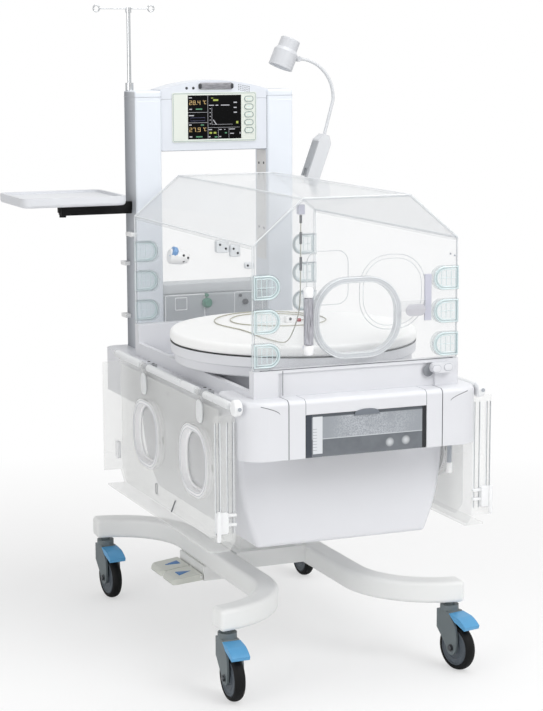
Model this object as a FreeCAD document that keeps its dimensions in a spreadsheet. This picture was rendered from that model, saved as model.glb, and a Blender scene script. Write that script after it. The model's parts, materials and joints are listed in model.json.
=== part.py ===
import FreeCAD, Part
import math
import os
import Sketcher

# Infant incubator on a height-adjustable stand, in millimetres.
# The floor is Z = 0, the four caster stems are centred on X = 0 and Y = 0,
# the nurse stands at -Y and the two service columns are at +Y.

os.makedirs("parts", exist_ok=True)
doc = FreeCAD.newDocument("InfantIncubator")
sheet = doc.addObject("Spreadsheet::Sheet", "Sizes")


# Quantities that carry a number and the formula it comes from

class Size:
    """A length or angle with the spreadsheet formula that gives it."""

    def __init__(self, value, text):
        self.value = value
        self.text = text

    def __add__(self, other):
        return join(self, "+", other, lambda a, b: a + b)

    def __radd__(self, other):
        return join(other, "+", self, lambda a, b: a + b)

    def __sub__(self, other):
        return join(self, "-", other, lambda a, b: a - b)

    def __rsub__(self, other):
        return join(other, "-", self, lambda a, b: a - b)

    def __mul__(self, other):
        return join(self, "*", other, lambda a, b: a * b)

    def __rmul__(self, other):
        return join(other, "*", self, lambda a, b: a * b)

    def __truediv__(self, other):
        return join(self, "/", other, lambda a, b: a / b)

    def __rtruediv__(self, other):
        return join(other, "/", self, lambda a, b: a / b)

    def __neg__(self):
        return Size(-self.value, f"(0 - {self.text})")


def join(first, sign, second, rule):
    """Combine two quantities into one with its own formula."""
    first, second = as_size(first), as_size(second)
    return Size(rule(first.value, second.value), f"({first.text} {sign} {second.text})")


def as_size(amount):
    return amount if isinstance(amount, Size) else Size(float(amount), repr(float(amount)))


def square_root(size):
    return Size(math.sqrt(size.value), f"sqrt({size.text})")


def arc_tangent(size):
    """The angle in degrees whose tangent is the given ratio."""
    return Size(math.degrees(math.atan(size.value)), f"(atan({size.text}) / (1 deg))")


def sine(angle):
    return Size(math.sin(math.radians(angle.value)), f"sin({angle.text} * 1 deg)")


def cosine(angle):
    return Size(math.cos(math.radians(angle.value)), f"cos({angle.text} * 1 deg)")


def driving_size(alias, value):
    """Write one driving dimension in the sheet and return it."""
    driving_size.row += 1
    sheet.set(f"A{driving_size.row}", alias)
    sheet.set(f"B{driving_size.row}", str(value))
    sheet.setAlias(f"B{driving_size.row}", alias)
    return Size(float(value), f"Sizes.{alias}")


driving_size.row = 0


def bind(item, path, amount):
    item.setExpression(path, as_size(amount).text)


# Sketches and features that are all bound to the sheet

PLANES = {"XY": "XY_Plane", "XZ": "XZ_Plane", "YZ": "YZ_Plane"}


def new_body(label, place=(0, 0, 0), turn=0):
    """A body whose placement is bound, turned about the vertical."""
    body = doc.addObject("PartDesign::Body", label)
    body.Label = label
    body.Placement.Rotation = FreeCAD.Rotation(FreeCAD.Vector(0, 0, 1), as_size(turn).value or 0)
    for axis, amount in zip("xyz", place):
        bind(body, f"Placement.Base.{axis}", amount)
    if isinstance(turn, Size):
        bind(body, "Placement.Rotation.Angle", turn)
    return body


def place_sketch(body, plane, start, origin=(0, 0)):
    """An empty sketch at the given height along the plane's axis."""
    sketch = body.newObject("Sketcher::SketchObject", body.Label + "_sketch")
    support = [f for f in body.Origin.OriginFeatures if f.Role == PLANES[plane]][0]
    sketch.AttachmentSupport = (support, [""])
    sketch.MapMode = "FlatFace"
    height = -as_size(start) if plane == "XZ" else as_size(start)
    for axis, amount in zip("xyz", (origin[0], origin[1], height)):
        bind(sketch, f"AttachmentOffset.Base.{axis}", amount)
    return sketch


def constrain(sketch, kind, *rest):
    """Add a dimension whose last item is a quantity, and bind it."""
    amount = as_size(rest[-1])
    index = sketch.addConstraint(Sketcher.Constraint(kind, *rest[:-1], amount.value))
    sketch.setExpression(f"Constraints[{index}]", amount.text)


def draw_circle(sketch, centre, radius):
    x, y = as_size(centre[0]), as_size(centre[1])
    radius = as_size(radius)
    circle = Part.Circle(FreeCAD.Vector(x.value, y.value, 0), FreeCAD.Vector(0, 0, 1), radius.value)
    index = sketch.addGeometry(circle, False)
    constrain(sketch, "DistanceX", -1, 1, index, 3, x)
    constrain(sketch, "DistanceY", -1, 1, index, 3, y)
    constrain(sketch, "Radius", index, radius)


def arc_through(start, end, radius):
    """An arc between two points; a positive radius bulges to the left of the way."""
    chord = end - start
    half = chord.Length / 2
    reach = abs(radius)
    rise = reach - math.sqrt(max(reach * reach - half * half, 0))
    side = FreeCAD.Vector(-chord.y, chord.x, 0).normalize() * math.copysign(rise, radius)
    return Part.Arc(start, (start + end) / 2 + side, end)


def size_arc(sketch, index, corner, chord):
    """Fix an arc by its radius, or a half turn by the line that its centre is on."""
    radius = as_size(corner[2])
    if chord.Length < 2 * abs(radius.value) - 1e-6:
        constrain(sketch, "Radius", index, radius if radius.value > 0 else -radius)
    elif abs(chord.x) < abs(chord.y):
        constrain(sketch, "DistanceX", -1, 1, index, 3, corner[0])
    else:
        constrain(sketch, "DistanceY", -1, 1, index, 3, corner[1])


def draw_outline(sketch, corners):
    """A closed outline; a corner with a third item starts an arc of that radius."""
    spots = [FreeCAD.Vector(as_size(c[0]).value, as_size(c[1]).value, 0) for c in corners]
    count = len(corners)
    ends = []
    for number, corner in enumerate(corners):
        start, end = spots[number], spots[(number + 1) % count]
        if len(corner) == 3:
            edge = arc_through(start, end, as_size(corner[2]).value)
        else:
            edge = Part.LineSegment(start, end)
        index = sketch.addGeometry(edge, False)
        forward = (sketch.getPoint(index, 1) - start).Length < 1e-6
        ends.append((index, 1, 2) if forward else (index, 2, 1))
        if len(corner) == 3:
            size_arc(sketch, index, corner, end - start)
    for number in range(count):
        index, first, last = ends[number]
        after, begin, _ = ends[(number + 1) % count]
        sketch.addConstraint(Sketcher.Constraint("Coincident", index, last, after, begin))
        constrain(sketch, "DistanceX", -1, 1, index, first, corners[number][0])
        constrain(sketch, "DistanceY", -1, 1, index, first, corners[number][1])


def draw(sketch, shapes):
    """Draw every outline (a list) and circle (centre and radius) of a profile."""
    for shape in shapes:
        if isinstance(shape, list):
            draw_outline(sketch, shape)
        else:
            draw_circle(sketch, shape[0], shape[1])


def rectangle(left, right, bottom, top):
    return [(left, bottom), (right, bottom), (right, top), (left, top)]


def rounded(left, right, bottom, top, radius):
    """A rectangle with four rounded corners."""
    return [(left + radius, bottom), (right - radius, bottom, -radius),
            (right, bottom + radius), (right, top - radius, -radius),
            (right - radius, top), (left + radius, top, -radius),
            (left, top - radius), (left, bottom + radius, -radius)]


def mirrored(side, corners):
    """The outline for the left (-1) or right (1) hand."""
    return [(side * c[0], c[1]) + tuple(side * r for r in c[2:]) for c in corners]


def handed(side, near, far):
    """Start and length of a stretch that runs outwards from near to far."""
    return (near if side > 0 else -far), far - near


def pad(body, plane, start, length, *shapes):
    """Add material from start, along the plane's positive axis."""
    sketch = place_sketch(body, plane, start)
    draw(sketch, shapes)
    feature = body.newObject("PartDesign::Pad", body.Label + "_pad")
    feature.Profile = sketch
    feature.Reversed = plane == "XZ"
    bind(feature, "Length", length)
    body.Tip = feature
    return feature


def pocket(body, plane, start, length, *shapes):
    """Remove material from start, along the plane's positive axis."""
    sketch = place_sketch(body, plane, start)
    draw(sketch, shapes)
    feature = body.newObject("PartDesign::Pocket", body.Label + "_pocket")
    feature.Profile = sketch
    feature.Reversed = plane != "XZ"
    bind(feature, "Length", length)
    body.Tip = feature
    return feature


def revolve(body, plane, start, origin, axis, angle, *shapes):
    """Turn a profile about the H or V axis of a sketch placed at origin."""
    sketch = place_sketch(body, plane, start, origin)
    draw(sketch, shapes)
    feature = body.newObject("PartDesign::Revolution", body.Label + "_revolve")
    feature.Profile = sketch
    feature.ReferenceAxis = (sketch, [axis + "_Axis"])
    bind(feature, "Angle", angle)
    body.Tip = feature
    return feature


def round_edges(body, radius, choose):
    """Fillet every edge of the body that the rule picks."""
    doc.recompute()
    base = body.Tip
    names = [f"Edge{i + 1}" for i, edge in enumerate(base.Shape.Edges) if choose(edge)]
    feature = body.newObject("PartDesign::Fillet", body.Label + "_round")
    feature.Base = (base, names)
    bind(feature, "Radius", radius)
    body.Tip = feature
    return feature


def along(axis):
    """A rule that picks straight edges parallel to one axis."""
    way = {"X": FreeCAD.Vector(1, 0, 0), "Y": FreeCAD.Vector(0, 1, 0), "Z": FreeCAD.Vector(0, 0, 1)}[axis]

    def rule(edge):
        if edge.Curve.TypeId != "Part::GeomLine":
            return False
        return abs(edge.Curve.Direction.dot(way)) > 0.999
    return rule


def both(*rules):
    return lambda edge: all(rule(edge) for rule in rules)


def middle(test):
    """A rule on the middle point of an edge's box."""
    return lambda edge: test(edge.BoundBox.Center)


def plate(label, plane, start, length, *shapes):
    """A body made by one pad."""
    body = new_body(label)
    pad(body, plane, start, length, *shapes)
    return body


def group(label, members):
    """Separate solids that share one sub-part."""
    bundle = doc.addObject("Part::Compound", label)
    bundle.Label = label
    bundle.Links = members
    return bundle


subparts = []


def keep(item):
    subparts.append(item)
    return item


# Driving dimensions

fit = driving_size("running_clearance", 0.3)
wheel_diameter = driving_size("wheel_diameter", 125)
wheel_width = driving_size("wheel_width", 30)
tyre_depth = driving_size("tyre_depth", 13)
axle_diameter = driving_size("axle_diameter", 12)
caster_trail = driving_size("caster_trail", 35)
caster_height = driving_size("caster_height", 182)
caster_track = driving_size("caster_track", 640)
caster_wheelbase = driving_size("caster_wheelbase", 1022)
fork_width = driving_size("fork_width", 46)
fork_arm = driving_size("fork_arm_thickness", 6)
fork_shoulder = driving_size("fork_shoulder_height", 158)
collar_diameter = driving_size("collar_diameter", 50)
collar_height = driving_size("collar_height", 15)
stem_diameter = driving_size("stem_diameter", 26)
brake_width = driving_size("brake_pedal_width", 50)
brake_length = driving_size("brake_pedal_length", 68)
brake_gap = driving_size("brake_pedal_gap", 2.5)
swivel_front_left = driving_size("swivel_front_left", 0.01)
swivel_front_right = driving_size("swivel_front_right", 12)
swivel_rear_left = driving_size("swivel_rear_left", 5)
swivel_rear_right = driving_size("swivel_rear_right", 0.01)

leg_height = driving_size("leg_height", 59)
leg_width = driving_size("leg_width", 62)
leg_offset = driving_size("leg_offset", 137)
leg_straight = driving_size("leg_straight_length", 572)
leg_overhang = driving_size("leg_overhang", 32)
leg_rounding = driving_size("leg_edge_radius", 12)
beam_front = driving_size("cross_beam_front", -35)
beam_depth = driving_size("cross_beam_depth", 200)
beam_height = driving_size("cross_beam_height", 48)

column_wall = driving_size("lift_tube_wall", 5)
lift_width = driving_size("lift_tube_width", 170)
lift_depth = driving_size("lift_tube_depth", 150)
lift_top = driving_size("lift_tube_top", 560)
lift_overlap = driving_size("lift_tube_overlap", 290)

foot_pedal_length = driving_size("foot_pedal_length", 90)
foot_pedal_width = driving_size("foot_pedal_width", 98)
foot_pedal_height = driving_size("foot_pedal_height", 24)
foot_pedal_level = driving_size("foot_pedal_level", 140)
foot_pedal_gap = driving_size("foot_pedal_gap", 6)
foot_pedal_place = driving_size("foot_pedal_place", 165)
foot_pedal_pin = driving_size("foot_pedal_pin", 8)

housing_bottom = driving_size("housing_bottom", 385)
housing_top_width = driving_size("housing_top_width", 574)
housing_bottom_width = driving_size("housing_bottom_width", 476)
housing_shoulder = driving_size("housing_shoulder", 606)
housing_bulge = driving_size("housing_side_radius", 560)
housing_front = driving_size("housing_front", -522)
housing_depth = driving_size("housing_depth", 770)
housing_rounding = driving_size("housing_edge_radius", 12)

deck_bottom = driving_size("deck_bottom", 643)
deck_height = driving_size("deck_height", 125)
deck_width = driving_size("deck_width", 636)
deck_front = driving_size("deck_front", -470)
deck_rear = driving_size("deck_rear", 500)
deck_rounding = driving_size("deck_corner_radius", 40)

casing_front = driving_size("casing_front", -665)
casing_height = driving_size("casing_height", 149)
casing_center_width = driving_size("casing_centre_width", 424)
casing_width = driving_size("casing_width", 652)
casing_seam = driving_size("casing_seam", 1)
casing_corner = driving_size("casing_corner_radius", 58)
casing_rounding = driving_size("casing_edge_radius", 14)
drawer_width = driving_size("drawer_width", 336)
drawer_height = driving_size("drawer_height", 110)
drawer_wall = driving_size("drawer_wall", 4)
drawer_slack = driving_size("drawer_clearance", 0.8)
knob_diameter = driving_size("corner_knob_diameter", 42)
knob_length = driving_size("corner_knob_length", 22)

table_center = driving_size("turntable_centre", -195)
table_base_gap = driving_size("turntable_base_gap", 10)
table_base_height = driving_size("turntable_base_height", 46)
ring_diameter = driving_size("turntable_ring_diameter", 644)
ring_height = driving_size("turntable_ring_height", 26)
tray_diameter = driving_size("mattress_tray_diameter", 664)
tray_height = driving_size("mattress_tray_height", 28)
tray_rim = driving_size("mattress_tray_rim", 10)
tray_floor = driving_size("mattress_tray_floor", 6)
mattress_height = driving_size("mattress_height", 54)
mattress_overhang = driving_size("mattress_overhang", 3)
mattress_gap = driving_size("mattress_gap_over_rim", 1.5)
mattress_rounding = driving_size("mattress_edge_radius", 12)
cable_diameter = driving_size("sensor_cable_diameter", 3)
cable_lift = driving_size("sensor_cable_clearance", 0.3)
pod_length = driving_size("sensor_pod_length", 34)
pod_width = driving_size("sensor_pod_width", 24)
pod_height = driving_size("sensor_pod_height", 17)
pod_rounding = driving_size("sensor_pod_corner_radius", 5)
pod_place = driving_size("sensor_pod_place", 29)
pod_front = driving_size("sensor_pod_front", -120)
pod_socket = driving_size("sensor_pod_socket_diameter", 8)
pod_socket_length = driving_size("sensor_pod_socket_length", 14)

frame_width = driving_size("hood_frame_width", 568)
frame_front = driving_size("hood_frame_front", -611)
frame_rear = driving_size("hood_frame_rear", 304)
frame_bar = driving_size("hood_frame_bar", 30)
frame_rail = driving_size("hood_frame_rail", 14)
frame_top = driving_size("hood_frame_top", 860)
frame_post = driving_size("hood_frame_post_width", 66)
frame_recess = driving_size("hood_frame_recess", 6)
latch_length = driving_size("hood_latch_length", 62)
latch_height = driving_size("hood_latch_height", 26)
latch_depth = driving_size("hood_latch_depth", 18)
latch_place = driving_size("hood_latch_place", 232)

hood_shoulder = driving_size("hood_shoulder_height", 1172)
hood_top = driving_size("hood_top_height", 1285)
hood_roof = driving_size("hood_roof_width", 298)
hood_skirt = driving_size("hood_skirt_height", 10)
rail_height = driving_size("hood_rail_height", 14)
sheet_thickness = driving_size("clear_sheet", 5)
wall_front = driving_size("front_wall_front", -605)
wall_rear = driving_size("rear_wall_rear", 300)
grommet_width = driving_size("grommet_width", 72)
grommet_height = driving_size("grommet_height", 62)
grommet_pitch = driving_size("grommet_pitch", 85)
grommet_first = driving_size("grommet_first_height", 898)
grommet_depth = driving_size("grommet_depth", 17)
grommet_rounding = driving_size("grommet_corner_radius", 27)
grommet_wall = driving_size("grommet_wall", 5)

port_level = driving_size("front_port_height", 980)
port_width = driving_size("front_port_width", 242)
port_height = driving_size("front_port_opening_height", 206)
port_rounding = driving_size("front_port_corner_radius", 92)
gasket_width = driving_size("gasket_width", 15)
gasket_depth = driving_size("gasket_depth", 16)
port_hinge = driving_size("front_port_hinge_place", -141)
port_barrel = driving_size("front_port_barrel_diameter", 17)
port_barrel_height = driving_size("front_port_barrel_height", 142)
port_latch = driving_size("front_port_latch_place", 197)
post_width = driving_size("front_port_post_width", 18)
post_rise = driving_size("front_port_post_rise", 100)
tab_height = driving_size("front_port_tab_height", 26)
tab_root = driving_size("front_port_tab_root", 30)
clip_height = driving_size("cable_clip_height", 24)
clip_width = driving_size("cable_clip_width", 16)
clip_depth = driving_size("cable_clip_depth", 15)
clip_drop = driving_size("cable_clip_drop", 17)

hinge_reach = driving_size("door_hinge_axis_reach", 25)
hinge_level = driving_size("door_hinge_axis_height", 778)
hinge_pin = driving_size("door_hinge_pin", 8)
hinge_knuckle = driving_size("door_hinge_knuckle", 18)
hinge_width = driving_size("door_hinge_width", 26)
hinge_front = driving_size("door_hinge_front", -400)
hinge_rear = driving_size("door_hinge_rear", 42)
door_sheet = driving_size("door_sheet_offset", 6)
door_bottom = driving_size("door_bottom", 400)
door_top = driving_size("door_top", 765)
door_flange = driving_size("door_flange_depth", 50)
liner_gap = driving_size("door_liner_gap", 7)
liner_thickness = driving_size("door_liner_thickness", 3)
liner_front = driving_size("door_liner_front", -528)
liner_rear = driving_size("door_liner_rear", 248)
liner_bottom = driving_size("door_liner_bottom", 414)
liner_top = driving_size("door_liner_top", 755)
liner_corner = driving_size("door_liner_corner", 36)
side_port_level = driving_size("side_port_height", 590)
side_port_front = driving_size("side_port_front", -345)
side_port_rear = driving_size("side_port_rear", 34)
side_port_width = driving_size("side_port_width", 212)
side_port_height = driving_size("side_port_opening_height", 188)
side_port_rounding = driving_size("side_port_corner_radius", 84)
side_gasket_depth = driving_size("side_gasket_depth", 20)
port_cover = driving_size("port_cover_thickness", 5)

column_place = driving_size("column_inner_place", 167)
column_width = driving_size("column_width", 81)
column_front = driving_size("column_front", 385)
column_depth = driving_size("column_depth", 102)
column_top = driving_size("column_top", 1494)
column_cap = driving_size("column_cap_height", 30)
column_rounding = driving_size("column_edge_radius", 6)
console_top = driving_size("console_top", 925)
console_front = driving_size("console_front", 392)
console_depth = driving_size("console_depth", 80)
monitor_bottom = driving_size("monitor_bottom", 1348)
monitor_shoulder = driving_size("monitor_shoulder", 1526)
monitor_crown = driving_size("monitor_crown_radius", 545)
monitor_depth = driving_size("monitor_depth", 86)
fascia_width = driving_size("fascia_width", 264)
fascia_height = driving_size("fascia_height", 144)
fascia_level = driving_size("fascia_height_above_floor", 1373)
screen_width = driving_size("screen_width", 168)
screen_height = driving_size("screen_height", 128)
fascia_thickness = driving_size("fascia_thickness", 3)
key_width = driving_size("key_width", 24)
key_height = driving_size("key_height", 13)
key_pitch = driving_size("key_pitch", 23)
lamp_bar_width = driving_size("alarm_lamp_width", 96)
lamp_bar_height = driving_size("alarm_lamp_height", 14)

pole_x = driving_size("iv_pole_x", -237)
pole_y = driving_size("iv_pole_y", 465)
pole_diameter = driving_size("iv_pole_diameter", 12)
pole_top = driving_size("iv_pole_top", 1756)
hook_reach = driving_size("iv_hook_reach", 88)
hook_reach_right = driving_size("iv_hook_reach_right", 60)
hook_wire = driving_size("iv_hook_wire", 5)
hook_ring = driving_size("iv_hook_ring", 9)

shelf_left = driving_size("shelf_left", -610)
shelf_right = driving_size("shelf_right", -300)
shelf_front = driving_size("shelf_front", 300)
shelf_depth = driving_size("shelf_depth", 275)
shelf_bottom = driving_size("shelf_bottom", 1203)
shelf_height = driving_size("shelf_height", 27)
shelf_rim = driving_size("shelf_rim", 10)
shelf_rounding = driving_size("shelf_corner_radius", 30)
arm_width = driving_size("shelf_arm_width", 30)
arm_height = driving_size("shelf_arm_height", 26)
arm_pin_height = driving_size("shelf_arm_pin_height", 12)
arm_pin = driving_size("shelf_arm_pin", 12)

lamp_x = driving_size("lamp_foot_x", 325)
lamp_y = driving_size("lamp_foot_y", 436)
lamp_foot = driving_size("lamp_foot_height", 1250)
lamp_handle_length = driving_size("lamp_handle_length", 142)
lamp_handle_width = driving_size("lamp_handle_width", 44)
lamp_lean = driving_size("lamp_handle_lean", 20)
lamp_pin = driving_size("lamp_pin_diameter", 8)
lamp_neck = driving_size("lamp_neck_diameter", 10)
neck_rise_x = driving_size("lamp_neck_rise_x", 29)
neck_rise_z = driving_size("lamp_neck_rise_z", 104)
neck_radius = driving_size("lamp_neck_radius", 116)
neck_end_x = driving_size("lamp_neck_end_x", -77)
knuckle = driving_size("lamp_knuckle_diameter", 16)
knuckle_gap = driving_size("lamp_knuckle_gap", 0.6)
neck_end_z = driving_size("lamp_neck_end_z", 228)
lamp_head_length = driving_size("lamp_head_length", 90)
lamp_head_diameter = driving_size("lamp_head_diameter", 74)
lamp_head_back = driving_size("lamp_head_back_diameter", 60)
lamp_head_tilt = driving_size("lamp_head_tilt", 23)

# Levels and places that follow from the driving dimensions

wheel_radius = wheel_diameter / 2
leg_top = caster_height + leg_height
leg_inner = leg_offset - leg_width / 2
bend_run = caster_wheelbase / 2 - leg_straight / 2
bend_reach = caster_track / 2 - leg_offset
bend_radius = (bend_run * bend_run + bend_reach * bend_reach) / (2 * bend_reach)
bend_angle = 2 * arc_tangent(bend_reach / bend_run) + leg_overhang / bend_radius * 180 / math.pi
lift_center = beam_front + beam_depth / 2
deck_top = deck_bottom + deck_height
casing_top = deck_bottom + casing_height
table_base_top = deck_top + table_base_height
table_base_diameter = frame_width - 2 * (frame_rail + table_base_gap)
ring_top = table_base_top + ring_height
tray_bottom = ring_top + fit
mattress_top = tray_bottom + tray_floor + mattress_height
wall_width = frame_width
console_width = 2 * column_place
lift_ceiling = deck_bottom - 20
hinge_place = deck_width / 2 + hinge_reach


# Casters

def caster(corner, side, end, swivel):
    """Fork, wheel and brake pedal of one caster, drawn about its stem."""
    place = (side * caster_track / 2, end * caster_wheelbase / 2, 0)
    fork = new_body("caster_fork_" + corner, place, swivel)
    half = fork_width / 2
    hub_y, hub_z = -caster_trail, wheel_radius
    boss = axle_diameter / 2 + 13
    front, rear = -collar_diameter / 2, collar_diameter / 2
    pad(fork, "YZ", -half, fork_width, [
        (rear, fork_shoulder), (front, fork_shoulder), (hub_y - boss + 2, hub_z + 60, -120),
        (hub_y - boss, hub_z, -boss), (hub_y + boss, hub_z), (rear, fork_shoulder - 50)])
    pocket(fork, "YZ", -half + fork_arm, fork_width - 2 * fork_arm,
           rectangle(hub_y - wheel_radius, hub_y + 2 * wheel_radius, 0, wheel_diameter + 4))
    pad(fork, "XY", fork_shoulder, collar_height, ((0, 0), collar_diameter / 2))
    spacer = fork_shoulder + collar_height
    pad(fork, "XY", spacer, caster_height - spacer, ((0, 0), stem_diameter / 2))
    pad(fork, "YZ", -half + fork_arm / 2, fork_width - fork_arm, ((hub_y, hub_z), axle_diameter / 2))
    keep(fork)
    keep(group("caster_wheel_" + corner, wheel_pieces(corner, place, swivel)))

    pedal = new_body("brake_pedal_" + corner, place, swivel)
    back = front - brake_gap
    tip = back - brake_length
    pad(pedal, "YZ", -brake_width / 2, brake_width, [
        (back, fork_shoulder - 2), (back - 34, fork_shoulder - 7, -90), (tip, fork_shoulder - 27),
        (tip + 3, fork_shoulder - 36), (back - 34, fork_shoulder - 24), (back - 23, fork_shoulder - 21)])
    keep(pedal)


def wheel_pieces(corner, place, swivel):
    """Hub and tyre of one wheel, turned about the axle."""
    rim = wheel_radius - tyre_depth
    edge = wheel_width / 2
    origin = (0, wheel_radius)
    dish = 5
    hub = new_body("hub_" + corner, place, swivel)
    revolve(hub, "XZ", -caster_trail, origin, "H", 360, [
        (-edge, axle_diameter / 2 + fit), (edge, axle_diameter / 2 + fit), (edge, rim / 2),
        (edge - dish, rim / 2 + dish), (edge - dish, rim - dish), (edge - 1, rim), (1 - edge, rim),
        (dish - edge, rim - dish), (dish - edge, rim / 2 + dish), (-edge, rim / 2)])
    tyre = new_body("tyre_" + corner, place, swivel)
    tread = 7
    revolve(tyre, "XZ", -caster_trail, origin, "H", 360, [
        (1 - edge, rim), (edge - 1, rim), (edge, wheel_radius - tread, -9), (edge - tread, wheel_radius),
        (tread - edge, wheel_radius, -9), (-edge, wheel_radius - tread)])
    return [hub, tyre]


# Stand

def leg(label, side):
    """One leg: a straight beam whose ends bend out over the casters."""
    body = new_body(label)
    edge = leg_width / 2
    centre = side * leg_offset
    pad(body, "XZ", -leg_straight / 2, leg_straight,
        rectangle(centre - edge, centre + edge, caster_height, leg_top))
    for end in (-1, 1):
        bend = revolve(body, "XZ", end * leg_straight / 2, (side * (leg_offset + bend_radius), 0), "V",
                       bend_angle, rectangle(-side * bend_radius - edge, -side * bend_radius + edge,
                                             caster_height, leg_top))
        bend.Reversed = side * end > 0
    round_edges(body, leg_rounding, leg_rim)
    keep(body)


def leg_rim(edge):
    """Long edges of a leg and the upright edges of its two ends."""
    level = abs(edge.BoundBox.ZLength) < 0.1
    straight = edge.Curve.TypeId == "Part::GeomLine"
    across = straight and level and abs(edge.Curve.Direction.y) < 0.98
    return not across and (level or abs(edge.BoundBox.Center.y) > caster_wheelbase.value / 2 - 60)


def cross_beam():
    """The box that ties the two legs and carries the lift column."""
    keep(plate("cross_beam", "XY", leg_top - beam_height, beam_height,
               rectangle(-leg_inner, leg_inner, beam_front, beam_front + beam_depth)))


def lift_column():
    """Fixed outer tube and the inner tube that raises the cabinet."""
    outer = new_body("lift_outer_tube")
    half, deep = lift_width / 2, lift_depth / 2
    pad(outer, "XY", leg_top, lift_top - leg_top,
        rectangle(-half, half, lift_center - deep, lift_center + deep))
    pocket(outer, "XY", leg_top + column_wall, lift_top - leg_top, rectangle(
        column_wall - half, half - column_wall,
        lift_center - deep + column_wall, lift_center + deep - column_wall))
    keep(outer)
    gap = column_wall + fit
    wall = gap + column_wall
    keep(plate("lift_inner_tube", "XY", lift_top - lift_overlap, lift_ceiling - lift_top + lift_overlap,
               rectangle(gap - half, half - gap, lift_center - deep + gap, lift_center + deep - gap),
               rectangle(wall - half, half - wall, lift_center - deep + wall, lift_center + deep - wall)))


def foot_pedals():
    """Bracket under the left leg with the raise and lower pedals."""
    edge = -leg_inner - leg_width
    pin_x, pin_z = edge - 8, foot_pedal_level + foot_pedal_height / 2
    spread = foot_pedal_width + foot_pedal_gap / 2
    bracket = plate("foot_pedal_bracket", "YZ", edge, leg_width, rectangle(
        foot_pedal_place - spread, foot_pedal_place + spread, foot_pedal_level, caster_height))
    pad(bracket, "XZ", foot_pedal_place - foot_pedal_gap / 2 + fit, foot_pedal_gap - 2 * fit,
        rectangle(pin_x - foot_pedal_pin, edge, foot_pedal_level + 2, pin_z + foot_pedal_pin))
    pad(bracket, "XZ", foot_pedal_place - spread, 2 * spread, ((pin_x, pin_z), foot_pedal_pin / 2))
    keep(bracket)
    left = pin_x - foot_pedal_length
    for label, start in (("lower_pedal", foot_pedal_place - spread),
                         ("raise_pedal", foot_pedal_place + foot_pedal_gap / 2)):
        body = new_body(label)
        pad(body, "XZ", start, foot_pedal_width, [
            (pin_x + 4, foot_pedal_level + 3), (pin_x + 4, pin_z + 7), (pin_x, pin_z + 10),
            (left + 14, pin_z + 1, -30), (left, foot_pedal_level + 3), (left + 6, foot_pedal_level - 5),
            (left + 28, foot_pedal_level - 2)])
        pocket(body, "XZ", start, foot_pedal_width, ((pin_x, pin_z), foot_pedal_pin / 2 + fit))
        corner = 28
        end = start + foot_pedal_width
        for low, high, side in ((start, start + corner, 1), (end, end - corner, -1)):
            pocket(body, "XY", foot_pedal_level - 30, 90, [
                (left - 2, low - 2 * side), (left + corner, low - 2 * side),
                (left + corner, low, side * corner), (left, high), (left - 2, high)])
        keep(body)


# Cabinet, deck and front casing

def lower_housing():
    """Tapered cabinet with a well for the lift column."""
    body = new_body("lower_housing")
    top, bottom = housing_top_width / 2, housing_bottom_width / 2
    pad(body, "XZ", housing_front, housing_depth, [
        (-bottom, housing_bottom), (bottom, housing_bottom, -housing_bulge), (top, housing_shoulder),
        (top, deck_bottom), (-top, deck_bottom), (-top, housing_shoulder, -housing_bulge)])
    round_edges(body, housing_rounding, middle(lambda spot: spot.z < deck_bottom.value - 30))
    well = lift_width / 2 + 5
    pocket(body, "XY", housing_bottom - 1, lift_ceiling - housing_bottom + 1, rectangle(
        -well, well, lift_center - lift_depth / 2 - 5, lift_center + lift_depth / 2 + 5))
    keep(body)


def deck():
    """Main tray that carries the columns, the turntable and the doors."""
    body = plate("deck", "XY", deck_bottom, deck_height,
                 rectangle(-deck_width / 2, deck_width / 2, deck_front, deck_rear))
    round_edges(body, deck_rounding, both(along("Z"), middle(lambda spot: spot.y > 0)))
    keep(body)


def front_casing():
    """Centre casing over the water drawer."""
    half, inner = casing_center_width / 2, drawer_width / 2
    body = plate("front_casing", "XY", deck_bottom, casing_height,
                 rectangle(-half, half, casing_front, deck_front))
    pocket(body, "XY", deck_bottom, drawer_height, rectangle(-inner, inner, casing_front, deck_front))
    round_edges(body, casing_rounding, both(along("X"), middle(
        lambda spot: spot.y < casing_front.value + 1 and spot.z > casing_top.value - 1)))
    keep(body)


def casing_ends():
    """Rounded end pieces of the front casing."""
    ends = []
    inner = casing_center_width / 2 + casing_seam
    outer = casing_width / 2
    for name, side in (("left", -1), ("right", 1)):
        body = plate("casing_end_" + name, "XY", deck_bottom, casing_height, mirrored(side, [
            (inner, casing_front), (outer - casing_corner, casing_front, -casing_corner),
            (outer, casing_front + casing_corner), (outer, deck_front), (inner, deck_front)]))
        round_edges(body, casing_rounding, middle(
            lambda spot: spot.z > casing_top.value - 1 and spot.y < deck_front.value - 1
            and abs(spot.x) > inner.value + 1))
        ends.append(body)
    keep(group("casing_ends", ends))


def corner_knobs():
    """Clear knobs at the front ends of the two door hinge lines, as a list of bodies."""
    knobs = []
    radius = knob_diameter / 2
    spot = (casing_front + casing_corner - radius, casing_top - radius + 6)
    for name, side in (("left", -1), ("right", 1)):
        start, length = handed(side, casing_width / 2, casing_width / 2 + knob_length)
        body = plate("corner_knob_" + name, "YZ", start, length, (spot, radius))
        round_edges(body, knob_length / 3, lambda edge: True)
        knobs.append(body)
    return knobs


def water_drawer():
    """Open-topped water drawer that slides out to the front."""
    half = drawer_width / 2 - drawer_slack
    front, back = casing_front + 2, deck_front - 2
    low, high = deck_bottom + drawer_slack, deck_bottom + drawer_height - drawer_slack
    body = plate("water_drawer", "XY", low, high - low, rectangle(-half, half, front, back))
    pocket(body, "XY", low + drawer_wall, high - low, rectangle(
        drawer_wall - half, half - drawer_wall, front + drawer_wall, back - drawer_wall))
    keep(body)


# Turntable and mattress

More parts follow.
